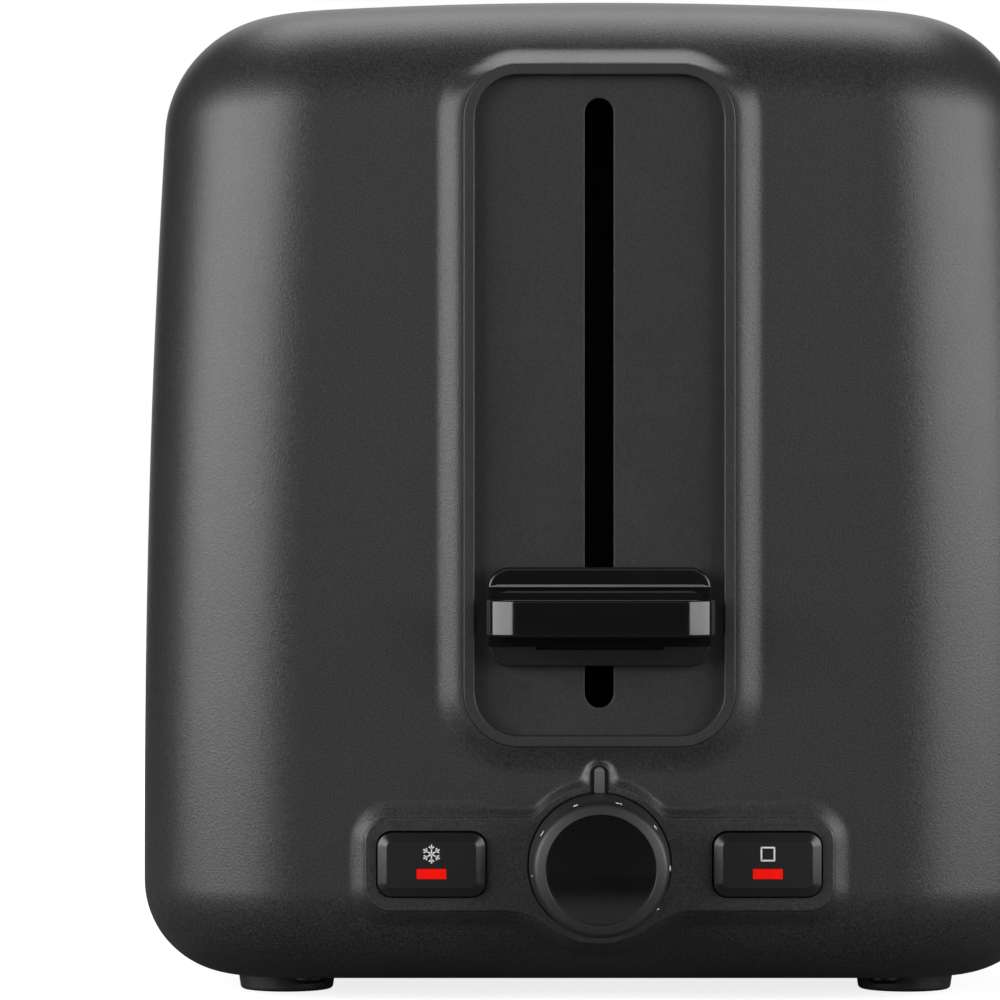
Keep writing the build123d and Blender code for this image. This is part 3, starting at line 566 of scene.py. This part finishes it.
# ------------------------
# The pointer: a light grey moulded key pressed into a pocket of the hood over the knob, with
# a dark gap left along both of its sides.
MARK_BOTTOM = 41.4 * MM
MARK_CHAMFER = 0.15 * MM
MARK_FACE_SHARE = 0.9
MARK_ARC_STEPS = 16
mark_half = (mark_high.x - mark_low.x) / 2
mark_outline = [(-mark_half, MARK_BOTTOM), (mark_half, MARK_BOTTOM)]
for step in range(MARK_ARC_STEPS + 1):
    angle = step * pi / MARK_ARC_STEPS
    mark_outline.append((mark_half * cos(angle), mark_high.z - mark_half * (1 - sin(angle))))
mark_middle = (MARK_BOTTOM + mark_high.z) / 2
mark_face = [(x * MARK_FACE_SHARE, mark_low.y, mark_middle + (z - mark_middle) * MARK_FACE_SHARE)
             for x, z in mark_outline]
mark = ring_mesh("pointer_key", [[(x, mark_high.y, z) for x, z in mark_outline],
                                 [(x, mark_low.y + MARK_CHAMFER, z) for x, z in mark_outline],
                                 mark_face])
mark_plastic = surface_finish("mark_plastic", 0.060, 0.085, gloss=(0.42, 0.5),
                              grain=0.3 * MM, depth=0.01 * MM)
soften(mark, 40)
dress(mark, mark_plastic)
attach(mark, "casing")
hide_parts("pointer_mark")

# ------------------------
# The slot plate: black enamelled sheet steel let into the casing's top. Each of its two
# slots is drawn down into a short funnel that guides the bread into the oven.


def finish_nodes(names, material):
    """Gives pieces that keep the CAD model's own shape their finish."""
    for name in names:
        dress(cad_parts[name], material)


enamel = surface_finish("slot_plate_enamel", 0.016, 0.026, gloss=(0.31, 0.34),
                        grain=0.7 * MM, depth=0.02 * MM)
finish_nodes(["top_plate"], enamel)

# ------------------------
# The base: a plain moulded plate with air slots and the tray's rails, held by four screws
# driven up into the casing's pillars. A rubber foot is pushed into it near each corner.
base_plastic = surface_finish("base_plastic", 0.018, 0.030, gloss=(0.42, 0.52),
                              grain=0.5 * MM, depth=0.03 * MM)
foot_rubber = surface_finish("foot_rubber", 0.012, 0.022, gloss=(0.34, 0.46),
                             grain=0.6 * MM, depth=0.015 * MM)
screw_steel = surface_finish("screw_steel", 0.020, 0.036, gloss=(0.40, 0.50),
                             grain=0.4 * MM, depth=0.01 * MM, metallic=1.0)
finish_nodes(["base_plate"], base_plastic)
finish_nodes([f"foot_{end}_{side}" for end in ("front", "rear") for side in ("left", "right")], foot_rubber)
finish_nodes(["base_screws"], screw_steel)

# ------------------------
# The oven: a front bulkhead coloured nearly black as painted shade for the dark inside, a
# zinc-coated rear one and two zinc-coated reflectors stand round four mica cards, each wound
# with flat resistance ribbon. A guard of drawn wire is hung on each side of each slot and
# leans against the bread.
zinc = surface_finish("zinc_coat", 0.36, 0.56, gloss=(0.30, 0.44),
                      grain=3.0 * MM, depth=0.015 * MM, metallic=1.0)
# Painted shade: the front bulkhead gets a near-black, dull finish instead of steel, so that it reads as the
# dark inside seen through the lever slot.
bulkhead_painted_shade = surface_finish("bulkhead_steel_painted_shade", 0.008, 0.02, gloss=(0.5, 0.6),
                             grain=3.0 * MM, depth=0.015 * MM)
bright_wire = surface_finish("bright_wire", 0.50, 0.66, gloss=(0.18, 0.30),
                             grain=0.8 * MM, depth=0.006 * MM, metallic=1.0, stretch=(1, 1, 0.1))
mica_board = surface_finish("mica_board", (0.42, 0.34, 0.22), (0.60, 0.52, 0.38), gloss=(0.40, 0.62),
                            grain=2.2 * MM, depth=0.03 * MM)
ribbon_metal = surface_finish("ribbon_metal", (0.22, 0.17, 0.14), (0.36, 0.30, 0.26), gloss=(0.34, 0.46),
                              grain=0.9 * MM, depth=0.008 * MM, metallic=1.0)
cards = ("outer_left", "inner_left", "inner_right", "outer_right")
finish_nodes(["rear_bulkhead", "reflector_left", "reflector_right"], zinc)
finish_nodes(["front_bulkhead"], bulkhead_painted_shade)
finish_nodes([f"heater_card_{card}" for card in cards], mica_board)
finish_nodes([f"heater_ribbon_{card}" for card in cards], ribbon_metal)
finish_nodes([f"bread_guard_{card}" for card in cards], bright_wire)

# ------------------------
# The carriage: a pressed steel bracket with two sleeves slides on two ground rods, and
# carries a zinc-coated rack under each slice. A coil spring over it is stretched while the
# lever is latched, and draws it up when the magnet lets its armature go.
carriage_zinc = surface_finish("carriage_zinc", 0.22, 0.34, gloss=(0.28, 0.40),
                               grain=1.8 * MM, depth=0.012 * MM, metallic=1.0)
# Painted shade: the steel's own dark grey is darkened nearly to black, so that the bracket, armature and
# yoke seen through the lever slot read as the dark inside.
core_steel = surface_finish("core_steel", 0.016, 0.030, gloss=(0.50, 0.60),
                            grain=0.7 * MM, depth=0.01 * MM, metallic=1.0)
spring_wire = surface_finish("spring_wire", 0.30, 0.42, gloss=(0.24, 0.34),
                             grain=0.5 * MM, depth=0.006 * MM, metallic=1.0)
finish_nodes(["guide_rod_left", "guide_rod_right"], bright_wire)
finish_nodes(["bread_rack_left", "bread_rack_right"], carriage_zinc)
finish_nodes(["carriage_bracket", "armature_plate", "magnet_yoke"], core_steel)
finish_nodes(["lever_stem"], base_plastic)

spring_low, spring_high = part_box("lift_spring")
SPRING_WIRE = 0.45 * MM
SPRING_TURNS = 14
STEPS_PER_TURN = 28
WIRE_SIDES = 10
spring_axis = Vector(((spring_low.x + spring_high.x) / 2, (spring_low.y + spring_high.y) / 2, 0))
coil_radius = (spring_high.x - spring_low.x) / 2 - SPRING_WIRE
coil_rise = spring_high.z - spring_low.z - 2 * SPRING_WIRE
spring_rings = []
for step in range(SPRING_TURNS * STEPS_PER_TURN + 1):
    share = step / (SPRING_TURNS * STEPS_PER_TURN)
    outward = Vector((cos(2 * pi * SPRING_TURNS * share), sin(2 * pi * SPRING_TURNS * share), 0))
    height = spring_low.z + SPRING_WIRE + coil_rise * share
    centre = spring_axis + outward * coil_radius + Vector((0, 0, height))
    ring = []
    for side in range(WIRE_SIDES - 1, -1, -1):
        angle = side * 2 * pi / WIRE_SIDES
        ring.append(tuple(centre + outward * SPRING_WIRE * cos(angle)
                          + Vector((0, 0, SPRING_WIRE * sin(angle)))))
    spring_rings.append(ring)
spring = ring_mesh("lift_coil", spring_rings)
soften(spring, 60)
dress(spring, spring_wire)
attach(spring, "casing")
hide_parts("lift_spring")
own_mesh(spring)

# ------------------------
# The lever: a polished black plate that runs in the panel's recess, with a channel across it
# and a bar in the channel for the finger. It is one moulding on the carriage's stem.
lever_low, lever_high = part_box("lever_handle")
LEVER_THICKNESS = 3.6 * MM
LEVER_CORNER = 4.0 * MM
LEVER_EDGE = 0.40 * MM
CHANNEL_HEIGHT = 11.6 * MM
CHANNEL_DEPTH = 1.6 * MM
NOTCH_WIDTH = 24.8 * MM
NOTCH_DEPTH = 0.6 * MM
SEAT_HEIGHT = 9.2 * MM
SEAT_WIDTH = 40.0 * MM
BAR_HEIGHT = 7.2 * MM
BAR_CORNER = 7.5 * MM
BAR_NOSE = 4.9 * MM
BAR_EDGE = 0.55 * MM
BAR_ARC_STEPS = 24
RIB_TAPER = 1.6 * MM
RIB_END = 1.9 * MM
UPPER_RIB_RISE = 0.46 * MM
UPPER_RIB_REACH = 0.45 * MM
LOWER_RIB_DROP = 1.35 * MM
LOWER_RIB_RISE = 0.48 * MM
LOWER_RIB_REACH = 0.12 * MM
LOWER_RIB_TOP = 0.075 * MM
RIB_BAND = 1.5 * MM
LEVER_SOFTENING = 0.12 * MM
lever_height = (lever_low.z + lever_high.z) / 2
plate_near = lever_high.y - LEVER_THICKNESS
plate_half = lever_high.x - 0.3 * MM


def plate_ring(inset, y):
    """The lever plate's outline, an inset inside its edge."""
    outline = rounded_outline(2 * (plate_half - inset), lever_low.z + inset, lever_high.z - inset,
                              LEVER_CORNER - inset, 12)
    return [(x, y, z) for x, z in outline]


plate_rings = [plate_ring(0, lever_high.y)]
for drawn_in, deep in edge_round(LEVER_EDGE):
    plate_rings.append(plate_ring(drawn_in, plate_near + deep))
plate_rings.append(plate_ring(LEVER_EDGE + 0.3 * MM, plate_near))
lever = ring_mesh("lever_plate", plate_rings)
channel_top = lever_height + CHANNEL_HEIGHT / 2
channel_bottom = lever_height - CHANNEL_HEIGHT / 2
channel_floor = plate_near + CHANNEL_DEPTH
channel_outline = rounded_outline(2 * lever_high.x + CUT_BEYOND, channel_bottom, channel_top, 0.05 * MM, 1)
notch_outline = rounded_outline(NOTCH_WIDTH, channel_bottom - NOTCH_DEPTH, lever_height, 0.3 * MM, 3)
channel = bar_along_y("channel", channel_outline, plate_near - CUT_BEYOND, channel_floor)
notch = bar_along_y("notch", notch_outline, plate_near - CUT_BEYOND, channel_floor)
join_or_carve(lever, [], [channel, notch])
bar_back = channel_floor + 0.2 * MM


def bar_plan(inset):
    """The finger bar seen from above: square behind and well rounded in front."""
    half = lever_high.x - inset
    near = lever_low.y + inset
    corner = BAR_CORNER - inset
    nose = BAR_NOSE - inset
    points = [(-half, bar_back)]
    for start, corner_x in ((pi, corner - half), (1.5 * pi, half - corner)):
        for i in range(BAR_ARC_STEPS + 1):
            angle = start + i * pi / 2 / BAR_ARC_STEPS
            points.append((corner_x + corner * cos(angle), near + nose + nose * sin(angle)))
    points.append((half, bar_back))
    return points


bar_rings = []
for rise, drawn_in in edge_round(BAR_EDGE):
    height = lever_height - BAR_HEIGHT / 2 + rise
    bar_rings.append([(x, y, height) for x, y in bar_plan(drawn_in)])
for drop, drawn_in in reversed(edge_round(BAR_EDGE)):
    height = lever_height + BAR_HEIGHT / 2 - drop
    bar_rings.append([(x, y, height) for x, y in bar_plan(drawn_in)])
bar = ring_mesh("finger_bar", bar_rings)
seat_outline = rounded_outline(SEAT_WIDTH, lever_height - SEAT_HEIGHT / 2, lever_height + SEAT_HEIGHT / 2,
                               0.5 * MM, 4)
seat = bar_along_y("bar_seat", seat_outline, plate_near + 0.5 * MM, bar_back)


def rib(foot, rise, reach, top_reach, face, half):
    """A thin rib along the lever that runs out at both ends, reaching out of a face at its foot."""
    back = face + 0.2 * MM
    rings = []
    for x, full in ((-half, 0.05), (RIB_TAPER - half, 1), (half - RIB_TAPER, 1), (half, 0.05)):
        top = foot + rise * full
        rings.append([(x, back, foot), (x, face - reach * full, foot),
                      (x, face - top_reach * full, top), (x, back, top)])
    return ring_mesh("rib", rings)


upper_rib = rib(channel_top - 0.05 * MM, UPPER_RIB_RISE, UPPER_RIB_REACH, 0, plate_near, plate_half)
lower_rib = rib(channel_top - LOWER_RIB_DROP, LOWER_RIB_RISE, LOWER_RIB_REACH, LOWER_RIB_TOP,
                channel_floor, plate_half - RIB_END)
join_or_carve(lever, [seat, bar, upper_rib, lower_rib], [])
# The lever is one moulding, given copies of its black plastic: a darker polished one on the upper plate, the
# bar's front and the ribs, and a lighter, less glossy one on the lower plate and sides, whose lighter colour
# is painted light.
polished_plastic = surface_finish("polished_plastic", 0.0028, 0.0042, gloss=(0.10, 0.13),
                                  grain=0.5 * MM, depth=0.0012 * MM)
satin_plastic_painted_light = surface_finish("satin_plastic_painted_light", 0.0065, 0.0095, gloss=(0.16, 0.20),
                               grain=0.4 * MM, depth=0.0015 * MM)
# Painted shade: a near-black, dull copy of the lever's plastic for the faces inside the channel, standing in
# for the shade in it.
channel_painted_shade = surface_finish("channel_painted_shade", 0.0008, 0.0014, gloss=(0.5, 0.6),
                               grain=0.4 * MM, depth=0.001 * MM, specular=0.1)
soften(lever, 35)
bevel = lever.modifiers.new("rounded_edges", "BEVEL")
bevel.width = LEVER_SOFTENING
bevel.segments = 2
bevel.limit_method = "ANGLE"
bevel.angle_limit = radians(50)
even_normals(lever)
dress(lever, satin_plastic_painted_light)
lever.data.materials.append(polished_plastic)
lever.data.materials.append(channel_painted_shade)
# The upper plate, the bar's front and the ribs take the darker polished copy, the faces in the channel the
# near-black one as painted shade, and the rest the lighter copy as painted light.
for face in lever.data.polygons:
    centre = face.center
    on_rib = channel_top - RIB_BAND < centre.z < channel_top and centre.y < channel_floor - 0.03 * MM
    if centre.y < plate_near - 0.4 * MM or centre.z > channel_top - 0.5 * MM or on_rib:
        face.material_index = 1
    elif centre.y > plate_near + 0.05 * MM and channel_bottom - 2 * NOTCH_DEPTH < centre.z < channel_top:
        face.material_index = 2
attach(lever, "carriage")
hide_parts("lever_handle")

# ------------------------
# The latch magnet and the electronics behind the front: a wound coil on a stamped yoke, and
# a green board on four posts with the browning control, two switches, two lamps and a relay.
winding = surface_finish("coil_winding", (0.36, 0.13, 0.05), (0.62, 0.28, 0.12), gloss=(0.28, 0.40),
                         grain=0.5 * MM, depth=0.05 * MM, metallic=1.0, stretch=(0.1, 0.1, 1))
board_green = surface_finish("board_green", (0.010, 0.07, 0.03), (0.03, 0.16, 0.07), gloss=(0.24, 0.38),
                             grain=2.4 * MM, depth=0.01 * MM)
part_grey = surface_finish("part_grey", 0.10, 0.16, gloss=(0.44, 0.56),
                           grain=0.6 * MM, depth=0.02 * MM)
clear_lamp = surface_finish("clear_lamp", (0.62, 0.58, 0.55), (0.80, 0.77, 0.74), gloss=(0.08, 0.16),
                            grain=1.2 * MM, depth=0.002 * MM)
terminal_glaze = surface_finish("terminal_glaze", (0.66, 0.63, 0.55), (0.78, 0.75, 0.68), gloss=(0.16, 0.26),
                                grain=3.0 * MM, depth=0.01 * MM)
finish_nodes(["board_screws"], screw_steel)
finish_nodes(["magnet_coil"], winding)
finish_nodes(["circuit_board"], board_green)
finish_nodes(["browning_control", "defrost_switch", "stop_switch", "power_relay"], part_grey)
finish_nodes(["defrost_lamp", "stop_lamp"], clear_lamp)
finish_nodes(["terminal_block"], terminal_glaze)
finish_nodes(["knob_shaft"], bright_wire)

# ------------------------
# The browning knob: a tapered grip with a satin flank, a polished dished face and printed
# browning numbers round its flank. It is pressed onto the control's shaft.
KNOB_FACE_RADIUS = 10.5 * MM
KNOB_SKIRT = 2.6 * MM
KNOB_DRAFT = 0.55 * MM
KNOB_SHOULDER = 2.1 * MM
KNOB_LAND = 1.3 * MM
LAND_FALL = 0.28 * MM
KNOB_DISH = 0.8 * MM
KNOB_BORE = 4 * MM
KNOB_CHAMFER = 0.3 * MM
FACE_EDGE = 0.2 * MM
KNOB_STEPS = 144
SHOULDER_STEPS = 16
DISH_STEPS = 41
NUMBER_HEIGHT = 2.7 * MM
NUMBER_THICKNESS = 0.06 * MM
NUMBER_STEP = 36.7
NUMBER_START = -94.9
NUMBER_PLACE = 76
NUMBER_LEAN = 14
knob_front = knob_low.y
flank_front = knob_front + KNOB_SHOULDER
shoulder_radius = knob_radius - KNOB_DRAFT
land_radius = KNOB_FACE_RADIUS + KNOB_LAND


def knob_shoulder(angle):
    """The radius and place of the grip's rounded shoulder, at an angle that goes from 0 at the
    land round the face to a right angle at the flank."""
    return (land_radius + (shoulder_radius - land_radius) * sin(angle),
            flank_front - (KNOB_SHOULDER - LAND_FALL) * cos(angle))


profile = [(KNOB_BORE, knob_high.y), (knob_radius - KNOB_CHAMFER, knob_high.y),
           (knob_radius, knob_high.y - KNOB_CHAMFER), (knob_radius, pod_face - KNOB_SKIRT)]
for step in range(SHOULDER_STEPS, 1, -1):
    profile.append(knob_shoulder(step * pi / 2 / SHOULDER_STEPS))
profile.append((KNOB_FACE_RADIUS + 0.12 * MM, knob_front))
profile.append((KNOB_FACE_RADIUS + 0.05 * MM, knob_front + 0.05 * MM))
profile.append((KNOB_FACE_RADIUS, knob_front + 0.18 * MM))
for step in range(DISH_STEPS - 1, 0, -1):
    share = step / DISH_STEPS
    profile.append((KNOB_FACE_RADIUS * share, knob_front + FACE_EDGE + KNOB_DISH * (1 - share ** 2)))
knob = ring_mesh("knob_grip", [[(x, y, z) for x, z in circle_outline(0, control_height, radius, KNOB_STEPS)]
                               for radius, y in profile])
knob_satin = surface_finish("knob_satin", 0.009, 0.014, gloss=(0.44, 0.50),
                            grain=0.4 * MM, depth=0.006 * MM)
soften(knob, 35)
dress(knob, knob_satin)
disc_gloss = surface_finish("disc_gloss", 0.0008, 0.0014, gloss=(0.15, 0.18),
                            grain=0.5 * MM, depth=0.0010 * MM, specular=0.38)
knob.data.materials.append(disc_gloss)
for face in knob.data.polygons:
    centre = face.center
    if hypot(centre.x, centre.z - control_height) < KNOB_FACE_RADIUS and centre.y < knob_front + 2 * MM:
        face.material_index = 1
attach(knob, "browning_knob")
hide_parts("browning_knob")

print_white = surface_finish("print_white", 0.62, 0.72, gloss=(0.40, 0.50),
                             grain=0.4 * MM, depth=0.002 * MM)
number_radius, number_y = knob_shoulder(radians(NUMBER_PLACE))
for count in range(7):
    text = bpy.data.curves.new(f"browning_number_{count + 1}", "FONT")
    text.body = str(count + 1)
    text.size = NUMBER_HEIGHT
    text.align_x = "CENTER"
    text.align_y = "CENTER"
    text.extrude = NUMBER_THICKNESS
    text.resolution_u = 4
    drawn = add_object("number_curve", text)
    bpy.context.view_layer.update()
    shape = bpy.data.meshes.new_from_object(drawn.evaluated_get(bpy.context.evaluated_depsgraph_get()))
    bpy.data.objects.remove(drawn)
    turn = radians(NUMBER_START + NUMBER_STEP * count)
    place = (Matrix.Translation((0, 0, control_height)) @ Matrix.Rotation(turn, 4, "Y")
             @ Matrix.Translation((0, number_y, number_radius))
             @ Matrix.Rotation(-radians(NUMBER_LEAN), 4, "X"))
    shape.transform(place)
    number = add_object(f"browning_number_{count + 1}", shape)
    dress(number, print_white)
    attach(number, "browning_knob")

# ------------------------
# The two buttons: polished black caps with a broad bevel, a red light bar let into the face
# and a printed sign over it. Each slides in its opening and works a switch on the board.
BUTTON_BEVEL = 1.75 * MM
BEVEL_DEPTH = 0.55 * MM
FLANGE_DEPTH = 1.5 * MM
PLUNGER_RADIUS = 1.6 * MM
PLUNGER_RISE = 2.6 * MM
LENS_GAP = 0.05 * MM
LENS_GLOW = 0.36
SIGN_RISE = 2.1 * MM
SIGN_REACH = 1.75 * MM
SIGN_LINE = 0.26 * MM
FORK_SHARE = 0.58
FORK_LENGTH = 0.6 * MM
SQUARE_HALF = 1.25 * MM
button_face = stop_low.y
flange_y = casing_front + CASING_WALL + 0.3 * MM
button_plastic = surface_finish("button_plastic", 0.0086, 0.0100, gloss=(0.22, 0.25),
                                grain=0.3 * MM, depth=0.0004 * MM)
for name, centre in button_centre.items():
    rings = []
    for inset, y in ((-BUTTON_FLANGE, flange_y + FLANGE_DEPTH), (-BUTTON_FLANGE, flange_y), (0, flange_y),
                     (0, button_face + BEVEL_DEPTH + 0.12 * MM), (0.08 * MM, button_face + BEVEL_DEPTH),
                     (BUTTON_BEVEL, button_face)):
        rings.append([(x, y, z) for x, z in button_outline(name, inset)])
    button = ring_mesh(f"{name}_cap", rings)
    lens_low, lens_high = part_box(f"{name}_lens")
    pocket_outline = rounded_outline(lens_high.x - lens_low.x + 2 * LENS_GAP, lens_low.z - LENS_GAP,
                                     lens_high.z + LENS_GAP, 0.15 * MM, 3, centre)
    pocket = bar_along_y("lens_pocket", pocket_outline, button_face - CUT_BEYOND, lens_high.y + 0.02 * MM)
    plunger_outline = circle_outline(centre, control_height + PLUNGER_RISE, PLUNGER_RADIUS, 40)
    plunger = bar_along_y("plunger", plunger_outline, flange_y + FLANGE_DEPTH - 0.2 * MM,
                          button_box[name][1].y)
    join_or_carve(button, [plunger], [pocket])
    soften(button, 12)
    dress(button, button_plastic)
    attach(button, f"{name}_button")
    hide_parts(f"{name}_button")

lens_glow = surface_finish("lens_red", (0.50, 0.002, 0.0008), (0.58, 0.003, 0.0012), gloss=(0.40, 0.46),
                           grain=1.0 * MM, depth=0.002 * MM, specular=0.1)
lens_shader = lens_glow.node_tree.nodes["Principled BSDF"]
lens_shader.inputs["Emission Color"].default_value = (1.0, 0.006, 0.001, 1)
lens_shader.inputs["Emission Strength"].default_value = LENS_GLOW
finish_nodes(["defrost_lens", "stop_lens"], lens_glow)


def printed_sign(name, strokes, width, button_name):
    """A sign printed on a button's face, from strokes between (x, z) points about its middle."""
    mesh = bmesh.new()
    for (ax, az), (bx, bz) in strokes:
        along = Vector((bx - ax, 0, bz - az))
        side = Vector((-along.z, 0, along.x)).normalized() * width / 2
        end = along.normalized() * width / 4
        a = Vector((ax, 0, az)) - end
        b = Vector((bx, 0, bz)) + end
        corners = [a - side, b - side, b + side, a + side]
        front = [mesh.verts.new(corner + Vector((0, -0.02 * MM, 0))) for corner in corners]
        back = [mesh.verts.new(corner + Vector((0, 0.01 * MM, 0))) for corner in corners]
        mesh.faces.new(front)
        mesh.faces.new(back[::-1])
        for i in range(4):
            j = (i + 1) % 4
            mesh.faces.new((front[j], front[i], back[i], back[j]))
    bmesh.ops.recalc_face_normals(mesh, faces=mesh.faces)
    data = bpy.data.meshes.new(name)
    mesh.to_mesh(data)
    mesh.free()
    middle = (button_centre[button_name], button_face, control_height + SIGN_RISE)
    data.transform(Matrix.Translation(middle))
    sign = add_object(name, data)
    dress(sign, print_white)
    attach(sign, f"{button_name}_button")


flake = []
for spoke in range(6):
    angle = radians(90 + 60 * spoke)
    tip = (SIGN_REACH * cos(angle), SIGN_REACH * sin(angle))
    flake.append(((0.0, 0.0), tip))
    fork = (tip[0] * FORK_SHARE, tip[1] * FORK_SHARE)
    for turn in (-50, 50):
        branch = angle + radians(turn)
        flake.append((fork, (fork[0] + FORK_LENGTH * cos(branch), fork[1] + FORK_LENGTH * sin(branch))))
printed_sign("frost_sign", flake, SIGN_LINE, "defrost")
corners = [(x * SQUARE_HALF, z * SQUARE_HALF) for x, z in ((-1, -1), (1, -1), (1, 1), (-1, 1))]
outline = [(corners[i], corners[(i + 1) % 4]) for i in range(4)]
printed_sign("cancel_sign", outline, SIGN_LINE * 1.2, "stop")

# ------------------------
# The crumb tray: a shallow folded tray that slides in from behind on the base's rails, with
# a moulded door that fills its opening and a lip to pull it by.
tray_sheet = surface_finish("tray_sheet", 0.40, 0.50, gloss=(0.33, 0.36),
                            grain=0.5 * MM, depth=0.006 * MM, metallic=1.0, stretch=(1, 0.06, 1))
finish_nodes(["crumb_tray"], tray_sheet)
finish_nodes(["tray_door"], casing_plastic)

# ------------------------
# The cable gland: a flanged bush snapped into the casing's back, where the mains cord enters.
gland_plastic = surface_finish("gland_plastic", 0.016, 0.026, gloss=(0.40, 0.50),
                               grain=0.5 * MM, depth=0.02 * MM)
finish_nodes(["cable_gland"], gland_plastic)

# ------------------------
# The studio: a pale floor that keeps the shadow, a wide soft lamp at each front corner, one
# above and a weaker one behind it, a low strip in front and a weak lamp at the back. The
# floor that the camera sees glows a little less near the toaster.
FLOOR_HALF = 8
FLOOR_GREY = 0.10
SEEN_FLOOR_GREY = 0.55
SHADE_GLOW = 0.82
SHADE_RADIUS = 0.15
PALE_RADIUS = 0.60


def grey(value):
    """An opaque colour without any hue."""
    return (value, value, value, 1)


def set_inputs(node, values):
    """Sets a node's inputs by their names."""
    for name, value in values.items():
        node.inputs[name].default_value = value


floor_mesh = bpy.data.meshes.new("floor")
floor_corners = [(x * FLOOR_HALF, y * FLOOR_HALF, 0) for x, y in ((-1, -1), (1, -1), (1, 1), (-1, 1))]
floor_mesh.from_pydata(floor_corners, [], [(0, 1, 2, 3)])
floor = add_object("floor", floor_mesh)
floor_paint = bpy.data.materials.new("floor_paint")
floor_paint.use_nodes = True
nodes, links = floor_paint.node_tree.nodes, floor_paint.node_tree.links
shader = nodes["Principled BSDF"]
set_inputs(shader, {"Base Color": grey(FLOOR_GREY), "Roughness": 0.9})
seen = nodes.new("ShaderNodeBsdfDiffuse")
set_inputs(seen, {"Color": grey(SEEN_FLOOR_GREY)})
glow = nodes.new("ShaderNodeEmission")
set_inputs(glow, {"Color": grey(1)})
spot = nodes.new("ShaderNodeTexCoord")
reach = nodes.new("ShaderNodeVectorMath")
reach.operation = "LENGTH"
fade = nodes.new("ShaderNodeMapRange")
fade.interpolation_type = "SMOOTHSTEP"
set_inputs(fade, {"From Min": SHADE_RADIUS, "From Max": PALE_RADIUS, "To Min": SHADE_GLOW, "To Max": 1.0})
links.new(spot.outputs["Object"], reach.inputs[0])
links.new(reach.outputs["Value"], fade.inputs["Value"])
links.new(fade.outputs["Result"], glow.inputs["Strength"])
both = nodes.new("ShaderNodeAddShader")
path = nodes.new("ShaderNodeLightPath")
choice = nodes.new("ShaderNodeMixShader")
links.new(seen.outputs["BSDF"], both.inputs[0])
links.new(glow.outputs["Emission"], both.inputs[1])
links.new(path.outputs["Is Camera Ray"], choice.inputs["Fac"])
links.new(shader.outputs["BSDF"], choice.inputs[1])
links.new(both.outputs["Shader"], choice.inputs[2])
links.new(choice.outputs["Shader"], nodes["Material Output"].inputs["Surface"])
dress(floor, floor_paint)


def soft_lamp(name, azimuth, height, distance, wide, tall, power):
    """A soft rectangular lamp that faces the middle of the toaster. Its azimuth is 0 in front
    of the controls, and grows to the right as seen from there."""
    data = bpy.data.lights.new(name, "AREA")
    data.shape = "RECTANGLE"
    data.size = wide
    data.size_y = tall
    data.energy = power
    lamp = add_object(name, data)
    angle = radians(azimuth)
    lamp.location = (sin(angle) * distance, -cos(angle) * distance, height)
    aim = Vector((0, 0, 0.1)) - lamp.location
    lamp.rotation_euler = aim.to_track_quat("-Z", "Y").to_euler()


soft_lamp("left_lamp", azimuth=-57, height=0.25, distance=1.3, wide=1.6, tall=0.85, power=27)
soft_lamp("right_lamp", azimuth=58, height=0.25, distance=1.3, wide=1.6, tall=0.85, power=23)
soft_lamp("top_lamp", azimuth=180, height=1.25, distance=0.21, wide=1.2, tall=0.82, power=10.7)
soft_lamp("high_rear_lamp", azimuth=180, height=1.15, distance=1.05, wide=1.2, tall=0.9, power=3.4)
soft_lamp("front_lamp", azimuth=0, height=0.33, distance=1.6, wide=1.2, tall=0.36, power=0.9)
soft_lamp("rear_lamp", azimuth=180, height=0.45, distance=1.5, wide=1.6, tall=0.9, power=3)

# The surround is white to the camera and through glass. Gloss sees white only in a narrow
# cone straight behind the toaster, so that the black plastic stays black.
CONE_START = 0.97
CONE_FULL = 0.995
SURROUND_GREY = 0.05
world = bpy.data.worlds.new("studio")
bpy.context.scene.world = world
world.use_nodes = True
nodes, links = world.node_tree.nodes, world.node_tree.links
background = nodes["Background"]
path = nodes.new("ShaderNodeLightPath")
place = nodes.new("ShaderNodeTexCoord")
axes = nodes.new("ShaderNodeSeparateXYZ")
behind = nodes.new("ShaderNodeMapRange")
set_inputs(behind, {"From Min": CONE_START, "From Max": CONE_FULL})


def combined(operation, first, second):
    """One value worked out from two others."""
    node = nodes.new("ShaderNodeMath")
    node.operation = operation
    links.new(first, node.inputs[0])
    links.new(second, node.inputs[1])
    return node.outputs["Value"]


glossy = combined("MULTIPLY", behind.outputs["Result"], path.outputs["Is Glossy Ray"])
direct = combined("MAXIMUM", path.outputs["Is Camera Ray"], path.outputs["Is Transmission Ray"])
tone = nodes.new("ShaderNodeMix")
tone.data_type = "RGBA"
set_inputs(tone, {"A": grey(SURROUND_GREY), "B": grey(1)})
links.new(place.outputs["Generated"], axes.inputs["Vector"])
links.new(axes.outputs["Y"], behind.inputs["Value"])
links.new(combined("MAXIMUM", direct, glossy), tone.inputs["Factor"])
links.new(tone.outputs["Result"], background.inputs["Color"])

# ------------------------
# The camera: level, a metre in front of the controls and a little left of the middle, with a
# long lens whose view is a little wider than the toaster.
FRAME_WIDTH = 193.2 * MM
CAMERA_SIDE = -19.2 * MM
CAMERA_HEIGHT = 98 * MM
CAMERA_DISTANCE = 1.0
SENSOR_WIDTH = 36
camera_data = bpy.data.cameras.new("camera")
camera = add_object("camera", camera_data)
camera.location = (CAMERA_SIDE, casing_front - CAMERA_DISTANCE, CAMERA_HEIGHT)
camera.rotation_euler = (radians(90), 0, 0)
camera_data.sensor_width = SENSOR_WIDTH
camera_data.lens = SENSOR_WIDTH * CAMERA_DISTANCE / FRAME_WIDTH
bpy.context.scene.camera = camera
bpy.context.scene.view_settings.view_transform = "Standard"
